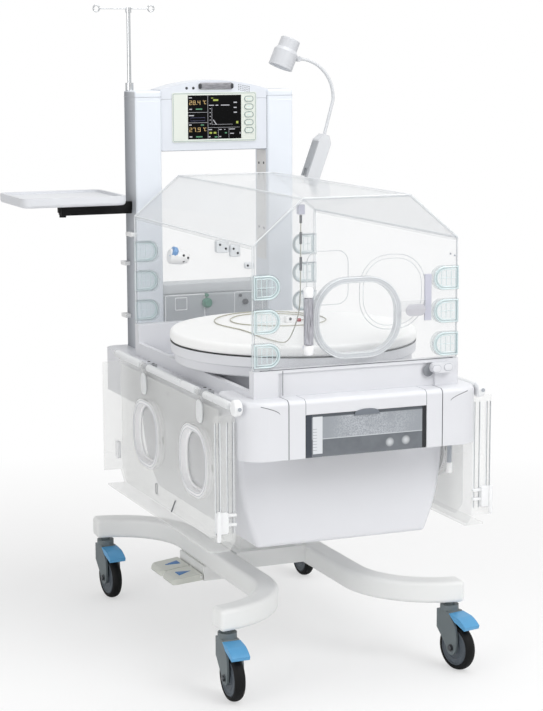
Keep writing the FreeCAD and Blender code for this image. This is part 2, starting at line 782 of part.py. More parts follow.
def turntable():
    """Fixed base and ring, turning tray and the round mattress."""
    centre = (0, table_center)
    base = plate("turntable_base", "XY", deck_top, table_base_height, (centre, table_base_diameter / 2))
    ring = plate("turntable_rim", "XY", table_base_top, ring_height, (centre, ring_diameter / 2))
    round_edges(ring, 5, middle(lambda spot: spot.z < table_base_top.value + 1))
    keep(group("turntable_ring", [base, ring]))
    outer, inner = tray_diameter / 2, tray_diameter / 2 - tray_rim
    tray = plate("mattress_tray", "XY", tray_bottom, tray_height, (centre, outer))
    pocket(tray, "XY", tray_bottom + tray_floor, tray_height, (centre, inner))
    round_edges(tray, 4, middle(lambda spot: spot.z < tray_bottom.value + 1))
    keep(tray)
    bed, lip = tray_bottom + tray_floor, tray_bottom + tray_height + mattress_gap
    mattress = plate("mattress", "XY", bed, lip - bed, (centre, inner - 1))
    pad(mattress, "XY", lip, mattress_top - lip, (centre, outer + mattress_overhang))
    round_edges(mattress, mattress_rounding, middle(lambda spot: spot.z > mattress_top.value - 1))
    keep(mattress)


def sensor_pod():
    """Small white pod on the mattress, with the round socket that its cable leaves by."""
    bottom = mattress_top + cable_lift
    pod = plate("sensor_pod", "XY", bottom, pod_height, rounded(
        pod_place - pod_length / 2, pod_place + pod_length / 2,
        pod_front, pod_front + pod_width, pod_rounding))
    round_edges(pod, 3, middle(lambda spot: spot.z > (bottom + pod_height).value - 1))
    pad(pod, "YZ", pod_place + pod_length / 2 - 2, pod_socket_length + 2,
        ((pod_front + pod_width / 2, bottom + pod_socket / 2), pod_socket / 2))
    keep(pod)


def cable_route():
    """Points of the sensor cable: out of the pod, round twice, over the edge and up to its clip.

    The two turns are given by the angle in degrees and the distance from (0, -45).
    """
    level = mattress_top.value + cable_lift.value + pod_socket.value / 2
    rest = mattress_top.value + cable_lift.value + cable_diameter.value / 2
    start = (pod_place + pod_length / 2 + pod_socket_length).value
    points = [(start, (pod_front + pod_width / 2).value, level), (start + 16, -107, level - 1)]
    for angle, reach in (
            (-28, 116), (-8, 122), (14, 119), (40, 113), (67, 115), (94, 122), (121, 121), (149, 117),
            (177, 123), (204, 131), (229, 129), (254, 133), (278, 143), (300, 150), (321, 154), (343, 152),
            (365, 148), (388, 146), (411, 151), (433, 158), (454, 160), (475, 156), (497, 155), (519, 161),
            (540, 170), (556, 180)):
        turn = math.radians(angle)
        points.append((reach * math.cos(turn), -45 + reach * math.sin(turn), rest))
    points += [(-163, -145, rest), (-153, -193, rest), (-149, -246, rest), (-153, -300, rest),
               (-154, -352, rest), (-148, -402, rest), (-145, -449, rest + 1), (-148, -493, rest + 7),
               (-151, -531, rest + 26), (-152, -560, rest + 55), (-150, -581, rest + 92)]
    hang = (-hood_roof / 2).value, (wall_front + sheet_thickness + clip_depth / 2).value
    return points + [hang + (rest + 140,), hang + ((hood_top - clip_drop - clip_height).value,)]


def sensor_cable():
    """Thin cable along its route: straight runs joined by tangent arcs."""
    points = [FreeCAD.Vector(*spot) for spot in cable_route()]
    edges, radii, last = [], [], points[0]
    for before, corner, after in zip(points, points[1:], points[2:]):
        back, ahead = (before - corner), (after - corner)
        half_turn = (math.pi - back.getAngle(ahead)) / 2
        cut = 0.45 * min(back.Length, ahead.Length)
        radii.append(cut / math.tan(half_turn))
        back.normalize()
        ahead.normalize()
        begin, end = corner + back * cut, corner + ahead * cut
        to_middle = (back + ahead).normalize()
        reach = radii[-1] * (1 / math.cos(half_turn) - 1)
        edges.append(Part.LineSegment(last, begin).toShape())
        edges.append(Part.Arc(begin, corner + to_middle * reach, end).toShape())
        last = end
    edges.append(Part.LineSegment(last, points[-1]).toShape())
    path = Part.Wire(edges)
    first = points[1] - points[0]
    ring = Part.Wire(Part.makeCircle(cable_diameter.value / 2, points[0], first))
    cable = doc.addObject("Part::Feature", "sensor_cable")
    cable.Shape = path.makePipeShell([ring], True, False)
    keep(cable)
    full = math.pi * cable_diameter.value ** 2 / 4 * path.Length
    print("cable", round(path.Length), "mm, least radius", round(min(radii), 1),
          "mm, volume over section times length", round(cable.Shape.Volume / full, 4))


# Hood

def hood_frame():
    """Raised frame under the hood, with a recessed front bar."""
    half = frame_width / 2
    back = frame_rear - frame_bar
    body = plate("hood_frame", "XY", deck_top, frame_top - deck_top, rectangle(-half, half, back, frame_rear))
    for side in (-1, 1):
        start, length = handed(side, half - frame_rail, half)
        pad(body, "YZ", start, length, [
            (deck_front + fit, deck_top), (back, deck_top), (back, casing_top + rail_height),
            (frame_front + frame_bar, casing_top + rail_height), (frame_front + frame_bar, casing_top),
            (deck_front + fit, casing_top)])
    pad(body, "XY", casing_top, frame_top - casing_top,
        rectangle(-half, half, frame_front, frame_front + frame_bar))
    pocket(body, "XZ", frame_front, frame_recess,
           rectangle(frame_post - half, half - frame_post, casing_top, frame_top - 8))
    keep(body)


def hood_latch():
    """White capsule lever that locks the hood at the front right."""
    body = new_body("hood_latch")
    rise = latch_height / 2
    reach = latch_length / 2 - rise
    level = frame_top - rise - 8
    pad(body, "XZ", frame_front - latch_depth, latch_depth - fit, [
        (latch_place - reach, level - rise), (latch_place + reach, level - rise, -rise),
        (latch_place + reach, level + rise), (latch_place - reach, level + rise, -rise)])
    pad(body, "XZ", frame_front - latch_depth, latch_depth, ((latch_place + reach, level), rise / 2))
    keep(body)


def hood_outline(inset, bottom):
    """The six-sided outline of the hood, drawn in by inset."""
    run, rise = (wall_width - hood_roof) / 2, hood_top - hood_shoulder
    length = square_root(run * run + rise * rise)
    half = wall_width / 2 - inset
    shoulder = hood_shoulder - inset * (length - rise) / run
    roof = hood_roof / 2 - inset * (length - run) / rise
    return [(-half, bottom), (half, bottom), (half, shoulder), (roof, hood_top - inset),
            (-roof, hood_top - inset), (-half, shoulder)]


def grommet_outline(side, number, slack):
    """The D outline of one tubing grommet at the wall's edge."""
    level = grommet_first + number * grommet_pitch
    low, high = level - grommet_height / 2 + slack, level + grommet_height / 2 - slack
    edge, reach = wall_width / 2, wall_width / 2 - grommet_width + slack
    radius = grommet_rounding - slack
    return mirrored(side, [
        (edge, low), (edge, high), (reach + radius, high, -radius), (reach, high - radius),
        (reach, low + radius, -radius), (reach + radius, low)])


def port_outline(slack):
    """The oval of the front access port, drawn in by slack."""
    width, height = port_width / 2 - slack, port_height / 2 - slack
    return rounded(-width, width, port_level - height, port_level + height, port_rounding - slack)


def hood_walls():
    """Front and rear clear walls with their notches and the front port."""
    for label, start in (("front_wall", wall_front), ("rear_wall", wall_rear - sheet_thickness)):
        body = plate(label, "XZ", start, sheet_thickness, hood_outline(0, frame_top))
        for side in (-1, 1):
            for number in range(3):
                pocket(body, "XZ", start, sheet_thickness, grommet_outline(side, number, grommet_wall))
        if label == "front_wall":
            pocket(body, "XZ", start, sheet_thickness, port_outline(0))
        keep(body)


def canopy():
    """Folded clear roof between the two walls."""
    start, length = wall_front + sheet_thickness, wall_rear - wall_front - 2 * sheet_thickness
    bottom = hood_shoulder - hood_skirt
    body = plate("canopy", "XZ", start, length, hood_outline(0, bottom))
    pocket(body, "XZ", start, length, hood_outline(sheet_thickness, bottom - 1))
    keep(body)


def tubing_grommets():
    """Soft D-shaped grommets in the notches of both walls."""
    pieces = []
    lip = (grommet_depth - sheet_thickness) / 2
    for name, start in (("front", wall_front), ("rear", wall_rear - sheet_thickness)):
        for side, hand in ((-1, "left"), (1, "right")):
            for number in range(3):
                body = new_body(f"grommet_{name}_{hand}_{number}")
                pad(body, "XZ", start - lip, lip, grommet_outline(side, number, 0))
                pad(body, "XZ", start, sheet_thickness, grommet_outline(side, number, grommet_wall))
                pad(body, "XZ", start + sheet_thickness, lip, grommet_outline(side, number, 0))
                pieces.append(body)
    keep(group("tubing_grommets", pieces))


def front_port():
    """Gasket, clear door, hinge and latch post of the front access port."""
    proud = (gasket_depth - sheet_thickness) / 2
    keep(plate("front_port_gasket", "XZ", wall_front - proud, gasket_depth,
               port_outline(0), port_outline(gasket_width)))
    half_width, half_arm = port_width / 2, port_barrel_height / 2
    low, high = port_level - half_arm + 8, port_level + half_arm - 8
    face = wall_front - proud - port_cover - fit
    axle = face + port_cover - port_barrel / 2
    door = plate("front_port_door", "XZ", face, port_cover, port_outline(3))
    pad(door, "XZ", face, port_cover, rectangle(port_hinge, tab_root - half_width, low, high))
    pad(door, "XY", low, high - low, ((port_hinge, axle), port_barrel / 2))
    pocket(door, "XY", low, high - low, ((port_hinge, axle), port_barrel / 4 + fit))
    tab = port_level + post_width / 2
    pad(door, "XZ", face, port_cover, rectangle(
        half_width - tab_root, port_latch - post_width / 2, tab, tab + tab_height))
    keep(door)

    pin = plate("front_port_pin", "XY", port_level - half_arm, port_barrel_height,
                ((port_hinge, axle), port_barrel / 4))
    lug = 8 - fit
    for base in (port_level - half_arm, port_level + half_arm - lug):
        pad(pin, "XY", base, lug, rectangle(
            port_hinge - port_barrel / 2, port_hinge + port_barrel / 4, axle - port_barrel / 4, wall_front))
    post = plate("front_port_latch_post", "XZ", wall_front - proud, proud,
                 rectangle(port_latch - post_width / 2, port_latch + post_width / 2,
                           port_level - post_width, port_level + post_rise))
    clip_top = hood_top - clip_drop
    clip = plate("cable_clip", "XZ", wall_front + sheet_thickness, clip_depth,
                 rectangle(-hood_roof / 2 - clip_width / 2, clip_width / 2 - hood_roof / 2,
                           clip_top - clip_height, clip_top))
    keep(group("front_port_fittings", [pin, post, clip]))


# Side doors

def side_port_outline(place, slack):
    """The oval of one hand port of a side door, drawn in by slack."""
    wide, tall = side_port_width / 2 - slack, side_port_height / 2 - slack
    return rounded(place - wide, place + wide, side_port_level - tall, side_port_level + tall,
                   side_port_rounding - slack)


def side_door(name, side):
    """Hanging side door: an outer tray with an inner liner and hinge knuckles."""
    inside = hinge_place - door_sheet - sheet_thickness
    face = hinge_place - door_sheet
    rim = face + door_flange
    liner = face + liner_gap
    body = new_body(name + "_door")
    ports = [side_port_outline(place, 0) for place in (side_port_front, side_port_rear)]
    corner = liner_corner
    pad(body, "YZ", *handed(side, inside, face), [
        (wall_front, door_bottom + corner), (wall_front + corner, door_bottom),
        (wall_rear - corner, door_bottom), (wall_rear, door_bottom + corner), (wall_rear, door_top),
        (wall_front, door_top)], *ports)
    for start in (wall_front, wall_rear - sheet_thickness):
        pad(body, "XZ", start, sheet_thickness,
            rectangle(side * inside, side * rim, door_bottom + corner, liner_top))
    pad(body, "XY", door_bottom, sheet_thickness,
        rectangle(side * inside, side * rim, wall_front + corner, wall_rear - corner))
    for place in (liner_front + 30, (liner_front + liner_rear) / 2, liner_rear - 30):
        for level in (liner_bottom + 20, liner_top - 30):
            pad(body, "XZ", place, 10, rectangle(side * (face - 1), side * liner, level, level + 10))
    pad(body, "YZ", *handed(side, liner, liner + liner_thickness), [
        (liner_front, liner_bottom + corner), (liner_front + corner, liner_bottom),
        (liner_rear - corner, liner_bottom), (liner_rear, liner_bottom + corner), (liner_rear, liner_top),
        (liner_front, liner_top)], *ports)
    for place in (hinge_front, hinge_rear):
        hinge_leaf(body, side, place, inside)
    keep(body)


def hinge_leaf(body, side, place, inside):
    """Knuckle of a side door and the leaf that joins it to the sheet."""
    start, length = place + fit, hinge_width - fit
    axis = (side * hinge_place, hinge_level)
    pad(body, "XZ", start, length, rectangle(side * inside, side * hinge_place, door_top - 30, hinge_level))
    pad(body, "XZ", start, length, (axis, hinge_knuckle / 2))
    pocket(body, "XZ", start, length, (axis, hinge_pin / 2 + fit))


def door_gaskets(name, side):
    """White rings that line the two hand ports of a side door."""
    middle_x = hinge_place - door_sheet + (liner_gap + liner_thickness - sheet_thickness) / 2
    start, length = handed(side, middle_x - side_gasket_depth / 2, middle_x + side_gasket_depth / 2)
    rings = []
    for part, place in (("front", side_port_front), ("rear", side_port_rear)):
        rings.append(plate(f"{name}_gasket_{part}", "YZ", start, length,
                           side_port_outline(place, 0), side_port_outline(place, gasket_width)))
    keep(group(name + "_door_gaskets", rings))


def port_doors(name, side):
    """Clear covers of the two hand ports, on the outer face of a side door."""
    middle_x = hinge_place - door_sheet + (liner_gap + liner_thickness - sheet_thickness) / 2
    outer = middle_x - side_gasket_depth / 2 - fit
    for part, place in (("front", side_port_front), ("rear", side_port_rear)):
        body = new_body(f"{name}_port_door_{part}")
        start, length = handed(side, outer - port_cover, outer)
        pad(body, "YZ", start, length, side_port_outline(place, 2))
        tab = place + side_port_width / 2
        pad(body, "YZ", start, length, rectangle(
            tab - 20, tab + 16, side_port_level - 32, side_port_level + 32))
        keep(body)


def door_hinges():
    """Lugs on the deck with the pins that both side doors turn on, and the knobs at their ends."""
    lugs = corner_knobs()
    for name, side in (("left", -1), ("right", 1)):
        for part, place in (("front", hinge_front), ("rear", hinge_rear)):
            axis = (side * hinge_place, hinge_level)
            reach = hinge_knuckle / 2
            body = plate(f"hinge_lug_{name}_{part}", "XZ", place - hinge_width, hinge_width,
                         (axis, reach))
            pad(body, "XZ", place - hinge_width, hinge_width, rectangle(
                side * deck_width / 2, side * hinge_place, door_top + 2, hinge_level + reach))
            pad(body, "XZ", place - hinge_width, 2 * hinge_width + 3, (axis, hinge_pin / 2))
            lugs.append(body)
    keep(group("door_hinges", lugs))


# Columns, console and monitor

def columns():
    """The two service columns with their caps."""
    for name, side in (("left", -1), ("right", 1)):
        start, width = handed(side, column_place, column_place + column_width)
        outline = rectangle(start, start + width, column_front, column_front + column_depth)
        post = plate(name + "_column_post", "XY", deck_top, column_top - deck_top, outline)
        round_edges(post, column_rounding, along("Z"))
        cap = plate(name + "_column_cap", "XY", column_top, column_cap, outline)
        round_edges(cap, column_rounding, lambda edge: edge.BoundBox.Center.z > column_top.value + 1)
        keep(group(name + "_column", [post, cap]))


def rear_console():
    """Sensor console between the columns, behind the hood."""
    body = plate("console_case", "XY", deck_top, console_top - deck_top,
                 rectangle(-column_place, column_place, console_front, console_front + console_depth))
    round_edges(body, 8, both(along("X"), middle(
        lambda spot: spot.z > console_top.value - 1 and spot.y < console_front.value + 1)))
    square = 34
    place, level = -console_width / 3, (console_top + deck_top) / 2 + 50
    panel = plate("console_sockets", "XZ", console_front - 3, 3,
                  rectangle(place - square / 2, place + square / 2, level - square / 2, level + square / 2))
    pad(panel, "XZ", console_front - 14, 14, ((-30, level), 7))
    keep(group("rear_console", [body, panel]))


def monitor():
    """Arched monitor case with its fascia, screen, keys and alarm lamp."""
    half = column_place
    case = plate("monitor_case", "XZ", console_front, monitor_depth, [
        (-half, monitor_bottom), (half, monitor_bottom), (half, monitor_shoulder, -monitor_crown),
        (-half, monitor_shoulder)])
    keep(case)
    face = console_front - fascia_thickness
    top = fascia_level + fascia_height
    screen_bottom = fascia_level + (fascia_height - screen_height) / 2
    wide, tall = screen_width / 2, screen_height
    foil = plate("fascia_foil", "XZ", face, fascia_thickness,
                   rounded(-fascia_width / 2, fascia_width / 2, fascia_level, top, 6),
                   rectangle(-wide, wide, screen_bottom, screen_bottom + tall))
    keep(plate("monitor_screen", "XZ", face + 1, fascia_thickness - 1,
               rectangle(-wide, wide, screen_bottom, screen_bottom + tall)))
    keys = new_body("monitor_keys")
    spot = (wide + fascia_width / 2) / 2
    for number in range(5):
        level = screen_bottom + tall - 12 - number * key_pitch
        pad(keys, "XZ", face - 1.5, 1.5, rounded(
            spot - key_width / 2, spot + key_width / 2, level - key_height / 2, level + key_height / 2,
            key_height / 2 - 0.5))
    lamp = plate("alarm_lamp", "XZ", face, fascia_thickness, rounded(
        -lamp_bar_width / 2, lamp_bar_width / 2,
        top + 8, top + 8 + lamp_bar_height, lamp_bar_height / 2 - 0.5))
    keep(group("monitor_fascia", [foil, keys, lamp]))


# Pole, shelf and lamp

def iv_pole():
    """Thin pole on the left column with two wire hooks."""
    place = (pole_x, pole_y)
    base = column_top + column_cap
    body = plate("iv_pole_tube", "XY", base, pole_top - base, (place, pole_diameter / 2))
    pad(body, "XY", base, 22, (place, pole_diameter))
    pad(body, "XY", pole_top - 8, 10, (place, pole_diameter / 2 + 3))
    hooks = new_body("iv_hooks", (pole_x, pole_y, pole_top + 2))
    wire = hook_wire / 2
    pad(hooks, "XY", 0, hook_wire, ((0, 0), pole_diameter / 2 + 3))
    for side, reach in ((-1, hook_reach), (1, hook_reach_right)):
        pad(hooks, "YZ", *handed(side, pole_diameter / 2, reach), ((0, wire), wire))
        revolve(hooks, "XY", wire, (side * (reach + hook_ring), 0), "V", 360, ((hook_ring, 0), wire))
    keep(group("iv_pole", [body, hooks]))


def shelf():
    """Instrument tray that turns on the end of its black arm."""
    pivot_x, pivot_y = (shelf_left + shelf_right) / 2, shelf_front + shelf_depth / 2
    column_face = -column_place - column_width
    arm_bottom = shelf_bottom - fit - arm_height
    half = arm_width / 2
    arm = plate("shelf_arm", "XY", arm_bottom, arm_height, [
        (pivot_x, pivot_y - half), (column_face, pivot_y - half), (column_face, pivot_y + half),
        (pivot_x, pivot_y + half, -half)])
    pad(arm, "XY", shelf_bottom - fit, arm_pin_height, ((pivot_x, pivot_y), arm_pin / 2))
    pad(arm, "XY", arm_bottom - 14, 14, ((pivot_x, pivot_y), 10))
    keep(arm)
    body = plate("shelf", "XY", shelf_bottom, shelf_height, rounded(
        shelf_left, shelf_right, shelf_front, shelf_front + shelf_depth, shelf_rounding))
    pocket(body, "XY", shelf_bottom + shelf_height - 7, 7, rounded(
        shelf_left + shelf_rim, shelf_right - shelf_rim, shelf_front + shelf_rim,
        shelf_front + shelf_depth - shelf_rim, shelf_rounding - shelf_rim))
    pocket(body, "XY", shelf_bottom, arm_pin_height + fit, ((pivot_x, pivot_y), arm_pin / 2 + fit))
    round_edges(body, 9, lambda edge: edge.BoundBox.ZMax < shelf_bottom.value + 0.1
                and edge.BoundBox.Center.z < shelf_bottom.value + 0.1 and edge.Length > arm_pin.value * 4)
    keep(body)


def lean(body, angle):
    """Tilt a body about its own Y axis by a driving angle."""
    body.Placement.Rotation = FreeCAD.Rotation(FreeCAD.Vector(0, 1, 0), angle.value)
    bind(body, "Placement.Rotation.Angle", angle)


def lamp():
    """Examination lamp: bracket, leaning handle, gooseneck and head."""
    face = column_place + column_width
    half = lamp_handle_width / 2
    bracket = plate("lamp_bracket", "YZ", face, lamp_x - face, rectangle(
        lamp_y - half / 2, lamp_y + half / 2, lamp_foot - half / 2, lamp_foot + half / 2))
    pad(bracket, "XZ", lamp_y - half / 2, half, ((lamp_x, lamp_foot), half / 2))
    pad(bracket, "XZ", lamp_y - half, 2 * half, ((lamp_x, lamp_foot), lamp_pin / 2))
    keep(bracket)

    handle = new_body("lamp_grip", (lamp_x, lamp_y, lamp_foot))
    lean(handle, lamp_lean)
    taper = lamp_handle_length - 22
    pad(handle, "XZ", -half, 2 * half, [
        (half - 5, -half + 5), (half, -half + 10), (half, taper),
        (8, lamp_handle_length), (-8, lamp_handle_length),
        (-half, taper), (-half, -half + 10), (5 - half, -half + 5)])
    pocket(handle, "XZ", -half / 2 - fit, half + 2 * fit, rectangle(-half - 1, half + 1, -half, half * 1.3))
    pocket(handle, "XZ", -half, 2 * half, ((0, 0), lamp_pin / 2 + fit))

    foot_x = lamp_x + lamp_handle_length * sine(lamp_lean)
    foot_z = lamp_foot + lamp_handle_length * cosine(lamp_lean)
    neck = new_body("lamp_neck", (foot_x, lamp_y, foot_z))
    spine = place_sketch(neck, "XZ", 0)
    draw_path(spine, [(0, 0), (neck_rise_x, neck_rise_z, neck_radius), (neck_end_x, neck_end_z)])
    ring = place_sketch(neck, "XY", 0)
    draw(ring, [((0, 0), lamp_neck / 2)])
    pipe = neck.newObject("PartDesign::AdditivePipe", "lamp_neck_pipe")
    pipe.Profile = ring
    pipe.Spine = spine
    neck.Tip = pipe
    keep(group("lamp_handle", [handle, neck]))

    head_x = foot_x + neck_end_x - knuckle / 2 - knuckle_gap
    head = new_body("lamp_head", (head_x, lamp_y, foot_z + neck_end_z))
    lean(head, lamp_head_tilt)
    outer, back, long = lamp_head_diameter / 2, lamp_head_back / 2, lamp_head_length
    boss = 8
    revolve(head, "XZ", 0, (-outer - boss, 0), "V", 360, [
        (0, -long / 2 + 12), (outer - 8, -long / 2 + 12), (outer - 4, -long / 2), (outer, -long / 2),
        (outer, 4), (back, 14), (back, long / 2 - 3), (back - 3, long / 2), (0, long / 2)])
    pad(head, "YZ", -boss - 4, boss + 4, ((0, 0), lamp_neck / 2))
    pad(head, "XZ", -knuckle / 2, knuckle, ((0, 0), knuckle / 2))
    keep(head)


def draw_path(sketch, spots):
    """An open path; a spot with a third item starts an arc to the next one."""
    for number in range(len(spots) - 1):
        start, end = spots[number], spots[number + 1]
        first = FreeCAD.Vector(as_size(start[0]).value, as_size(start[1]).value, 0)
        last = FreeCAD.Vector(as_size(end[0]).value, as_size(end[1]).value, 0)
        if len(start) == 3:
            edge = arc_through(first, last, -start[2].value)
        else:
            edge = Part.LineSegment(first, last)
        index = sketch.addGeometry(edge, False)
        forward = (sketch.getPoint(index, 1) - first).Length < 1e-6
        ends = (1, 2) if forward else (2, 1)
        for spot, end_number in ((start, ends[0]), (end, ends[1])):
            constrain(sketch, "DistanceX", -1, 1, index, end_number, spot[0])
            constrain(sketch, "DistanceY", -1, 1, index, end_number, spot[1])
        if len(start) == 3:
            constrain(sketch, "Radius", index, start[2])


# The whole incubator

def build():
    """Make every sub-part, from the floor upwards."""
    for corner, side, end, swivel in (
            ("front_left", -1, -1, swivel_front_left), ("front_right", 1, -1, swivel_front_right),
            ("rear_left", -1, 1, swivel_rear_left), ("rear_right", 1, 1, swivel_rear_right)):
        caster(corner, side, end, swivel)
    leg("left_leg", -1)
    leg("right_leg", 1)
    cross_beam()
    lift_column()
    foot_pedals()
    lower_housing()
    deck()
    front_casing()
    casing_ends()
    water_drawer()
    turntable()
    sensor_pod()
    sensor_cable()
    hood_frame()
    hood_latch()
    hood_walls()
    canopy()
    tubing_grommets()
    front_port()
    door_hinges()
    for name, side in (("left", -1), ("right", 1)):
        side_door(name, side)
        door_gaskets(name, side)
        port_doors(name, side)
    columns()
    rear_console()
    monitor()
    iv_pole()
    shelf()
    lamp()


def export():
    """Check every object, then write one file for each sub-part."""
    doc.recompute()
    broken = [item.Name for item in doc.Objects if "Invalid" in item.State or "Error" in item.State]
    if broken:
        raise RuntimeError("objects that failed: " + ", ".join(broken))
    for item in subparts:
        shape = item.Shape
        if shape.isNull() or not shape.isValid() or not shape.Solids:
            raise RuntimeError("no valid solid in " + item.Label)
        shape.exportStep("parts/" + item.Label + ".step")
    print(len(subparts), "sub-parts written")


build()
export()
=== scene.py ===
"""Infant incubator: finishes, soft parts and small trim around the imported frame."""
import json

import bmesh
import bpy
import numpy as np
from mathutils import Matrix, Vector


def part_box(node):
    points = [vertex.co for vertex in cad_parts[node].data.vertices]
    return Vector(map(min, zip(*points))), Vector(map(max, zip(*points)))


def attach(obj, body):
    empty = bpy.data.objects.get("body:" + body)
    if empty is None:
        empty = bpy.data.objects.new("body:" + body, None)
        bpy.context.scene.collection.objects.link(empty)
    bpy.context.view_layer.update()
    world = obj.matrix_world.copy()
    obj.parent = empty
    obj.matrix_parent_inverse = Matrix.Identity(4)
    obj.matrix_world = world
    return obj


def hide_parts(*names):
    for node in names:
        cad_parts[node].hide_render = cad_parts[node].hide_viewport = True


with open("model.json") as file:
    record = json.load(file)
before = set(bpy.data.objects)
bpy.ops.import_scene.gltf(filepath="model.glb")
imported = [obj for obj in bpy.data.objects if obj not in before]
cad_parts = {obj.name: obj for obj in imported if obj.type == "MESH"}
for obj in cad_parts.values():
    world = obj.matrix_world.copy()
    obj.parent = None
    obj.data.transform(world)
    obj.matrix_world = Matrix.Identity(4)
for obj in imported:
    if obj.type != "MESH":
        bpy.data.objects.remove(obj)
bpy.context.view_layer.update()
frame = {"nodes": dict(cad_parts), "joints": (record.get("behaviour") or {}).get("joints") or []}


# Camera. The picture was taken from the front left, a little above the hood, with a long lens.
# Its place and turn are worked out from the right angles of the stand, the cabinet and the hood.
PICTURE = (543, 711)
FOCAL_PIXELS = 1950
FILM = 36
STATION = (-2.057, -5.007, 1.674)
TURN, DIP, TWIST = -22.5, 9.25, -0.2

camera = bpy.data.objects.new("camera", bpy.data.cameras.new("camera"))
camera.data.sensor_width = FILM
camera.data.lens = FOCAL_PIXELS * FILM / max(PICTURE)
camera.matrix_world = (Matrix.Translation(STATION) @ Matrix.Rotation(np.radians(TURN), 4, "Z")
                       @ Matrix.Rotation(np.radians(90 - DIP), 4, "X") @ Matrix.Rotation(np.radians(TWIST), 4, "Z"))
bpy.context.scene.collection.objects.link(camera)
bpy.context.scene.camera = camera


# Legs, cross beam and lift tube. Bent steel box section under a pale grey powder coat, which has
# a fine orange peel and slightly duller patches where shoes and mops pass.
def seen(red, green, blue):
    """The linear colour that shows on screen as these three 0 to 255 values."""
    share = np.array([red, green, blue]) / 255
    linear = np.where(share <= 0.04045, share / 12.92, ((share + 0.055) / 1.055) ** 2.4)
    return tuple(float(part) for part in linear) + (1.0,)


def darker(colour, share):
    """The same colour with its light cut to a share."""
    return tuple(part * share for part in colour[:3]) + (1.0,)


class Signal:
    """One output of a shader node. Sums on signals add the Math nodes that work them out."""

    def __init__(self, finish, socket):
        self.finish, self.socket = finish, socket

    def math(self, operation, *others, clamp=False):
        """A Math node on this signal and the others."""
        return self.finish.node("ShaderNodeMath", {"operation": operation, "use_clamp": clamp}, self, *others)

    def __add__(self, other):
        return self.math("ADD", other)

    def __sub__(self, other):
        return self.math("SUBTRACT", other)

    def __rsub__(self, other):
        return self.finish.node("ShaderNodeMath", {"operation": "SUBTRACT"}, other, self)

    def __mul__(self, other):
        return self.math("MULTIPLY", other)

    def __truediv__(self, other):
        return self.math("DIVIDE", other)

    def __abs__(self):
        return self.math("ABSOLUTE")

    __radd__ = __add__
    __rmul__ = __mul__

    def above(self, edge, blur=0.0005):
        """1 where the signal is over the edge and 0 under it, with a short ramp between."""
        return ((self - edge) / blur).math("ADD", 0.5, clamp=True)

    def within(self, low, high, blur=0.0005):
        """1 between low and high, and 0 outside."""
        return self.above(low, blur) * (1 - self.above(high, blur))


class Finish:
    """A material on one Principled shader, with the calls that add nodes to it."""

    def __init__(self, name, colour, roughness, **sockets):
        self.material = bpy.data.materials.new(name)
        self.material.use_nodes = True
        self.tree = self.material.node_tree
        self.shader = self.tree.nodes["Principled BSDF"]
        self.colour = colour
        self.shader.inputs["Base Color"].default_value = colour
        self.shader.inputs["Roughness"].default_value = roughness
        for socket, value in sockets.items():
            self.shader.inputs[socket.replace("_", " ")].default_value = value

    def node(self, kind, settings, *values, out=0, **named):
        """Add a node: its settings first, then its sockets in order or by name; gives one output."""
        made = self.tree.nodes.new(kind)
        for name, value in settings.items():
            setattr(made, name, value)
        for key, value in list(enumerate(values)) + [(name.replace("_", " "), named[name]) for name in named]:
            if isinstance(value, Signal):
                self.tree.links.new(value.socket, made.inputs[key])
            elif value is not None:
                made.inputs[key].default_value = value
        return Signal(self, made.outputs[out])

    def place(self):
        """Object coordinates, which are the frame's own metres."""
        return self.node("ShaderNodeTexCoord", {}, out="Object")

    def parts(self, vector):
        """The X, Y and Z of a vector signal."""
        split = self.node("ShaderNodeSeparateXYZ", {}, vector).socket.node
        return [Signal(self, output) for output in split.outputs]

    def noise(self, scale, detail=2.0, stretch=(1, 1, 1)):
        """Soft noise from 0 to 1 with this many grains to the metre."""
        spot = self.node("ShaderNodeVectorMath", {"operation": "MULTIPLY"}, self.place(), stretch)
        return self.node("ShaderNodeTexNoise", {}, spot, Scale=scale, Detail=detail)

    def blend(self, share, first, second):
        """The colour that lies a share of the way from first to second."""
        skip = [None] * 4
        return self.node("ShaderNodeMix", {"data_type": "RGBA"}, share, None, *skip, first, second, out=2)

    def feed(self, socket, signal):
        """Link a signal to a socket of the shader."""
        self.tree.links.new(signal.socket, self.shader.inputs[socket])
        return self

    def over(self, share, colour):
        """Lay a colour over what feeds the base colour, by a share."""
        under = Signal(self, self.shader.inputs["Base Color"].links[0].from_socket)
        return self.feed("Base Color", self.blend(share, under, colour))

    def relief(self, height, depth, edge=0.0):
        """Bump of this depth in metres, over edges softened to a radius."""
        soft = self.node("ShaderNodeBevel", {"samples": 4}, edge) if edge else None
        bump = self.node("ShaderNodeBump", {}, Strength=1.0, Distance=depth, Height=height, Normal=soft)
        return self.feed("Normal", bump)


def coated(name, colour, roughness, peel=1.5e-5, grains=700, tone=0.03, edge=0.0012, **sockets):
    """A coated or moulded skin: slow drift of tone, uneven gloss, a fine peel and softened edges."""
    finish = Finish(name, colour, roughness, **sockets)
    drift = finish.noise(5, 3)
    finish.feed("Base Color", finish.blend(drift, darker(colour, 1 - tone), darker(colour, 1 + tone)))
    finish.feed("Roughness", finish.noise(35, 3) * 0.16 + (roughness - 0.08))
    return finish.relief(finish.noise(grains), peel, edge)


def dress(finish, *names):
    """Give solids of the frame a finish."""
    for name in names:
        for slot in frame["nodes"][name].material_slots:
            slot.material = finish.material


powder = coated("powder_coat", seen(236, 237, 236), 0.42)
dress(powder, "left_leg", "right_leg", "cross_beam", "lift_outer_tube", "foot_pedal_bracket")


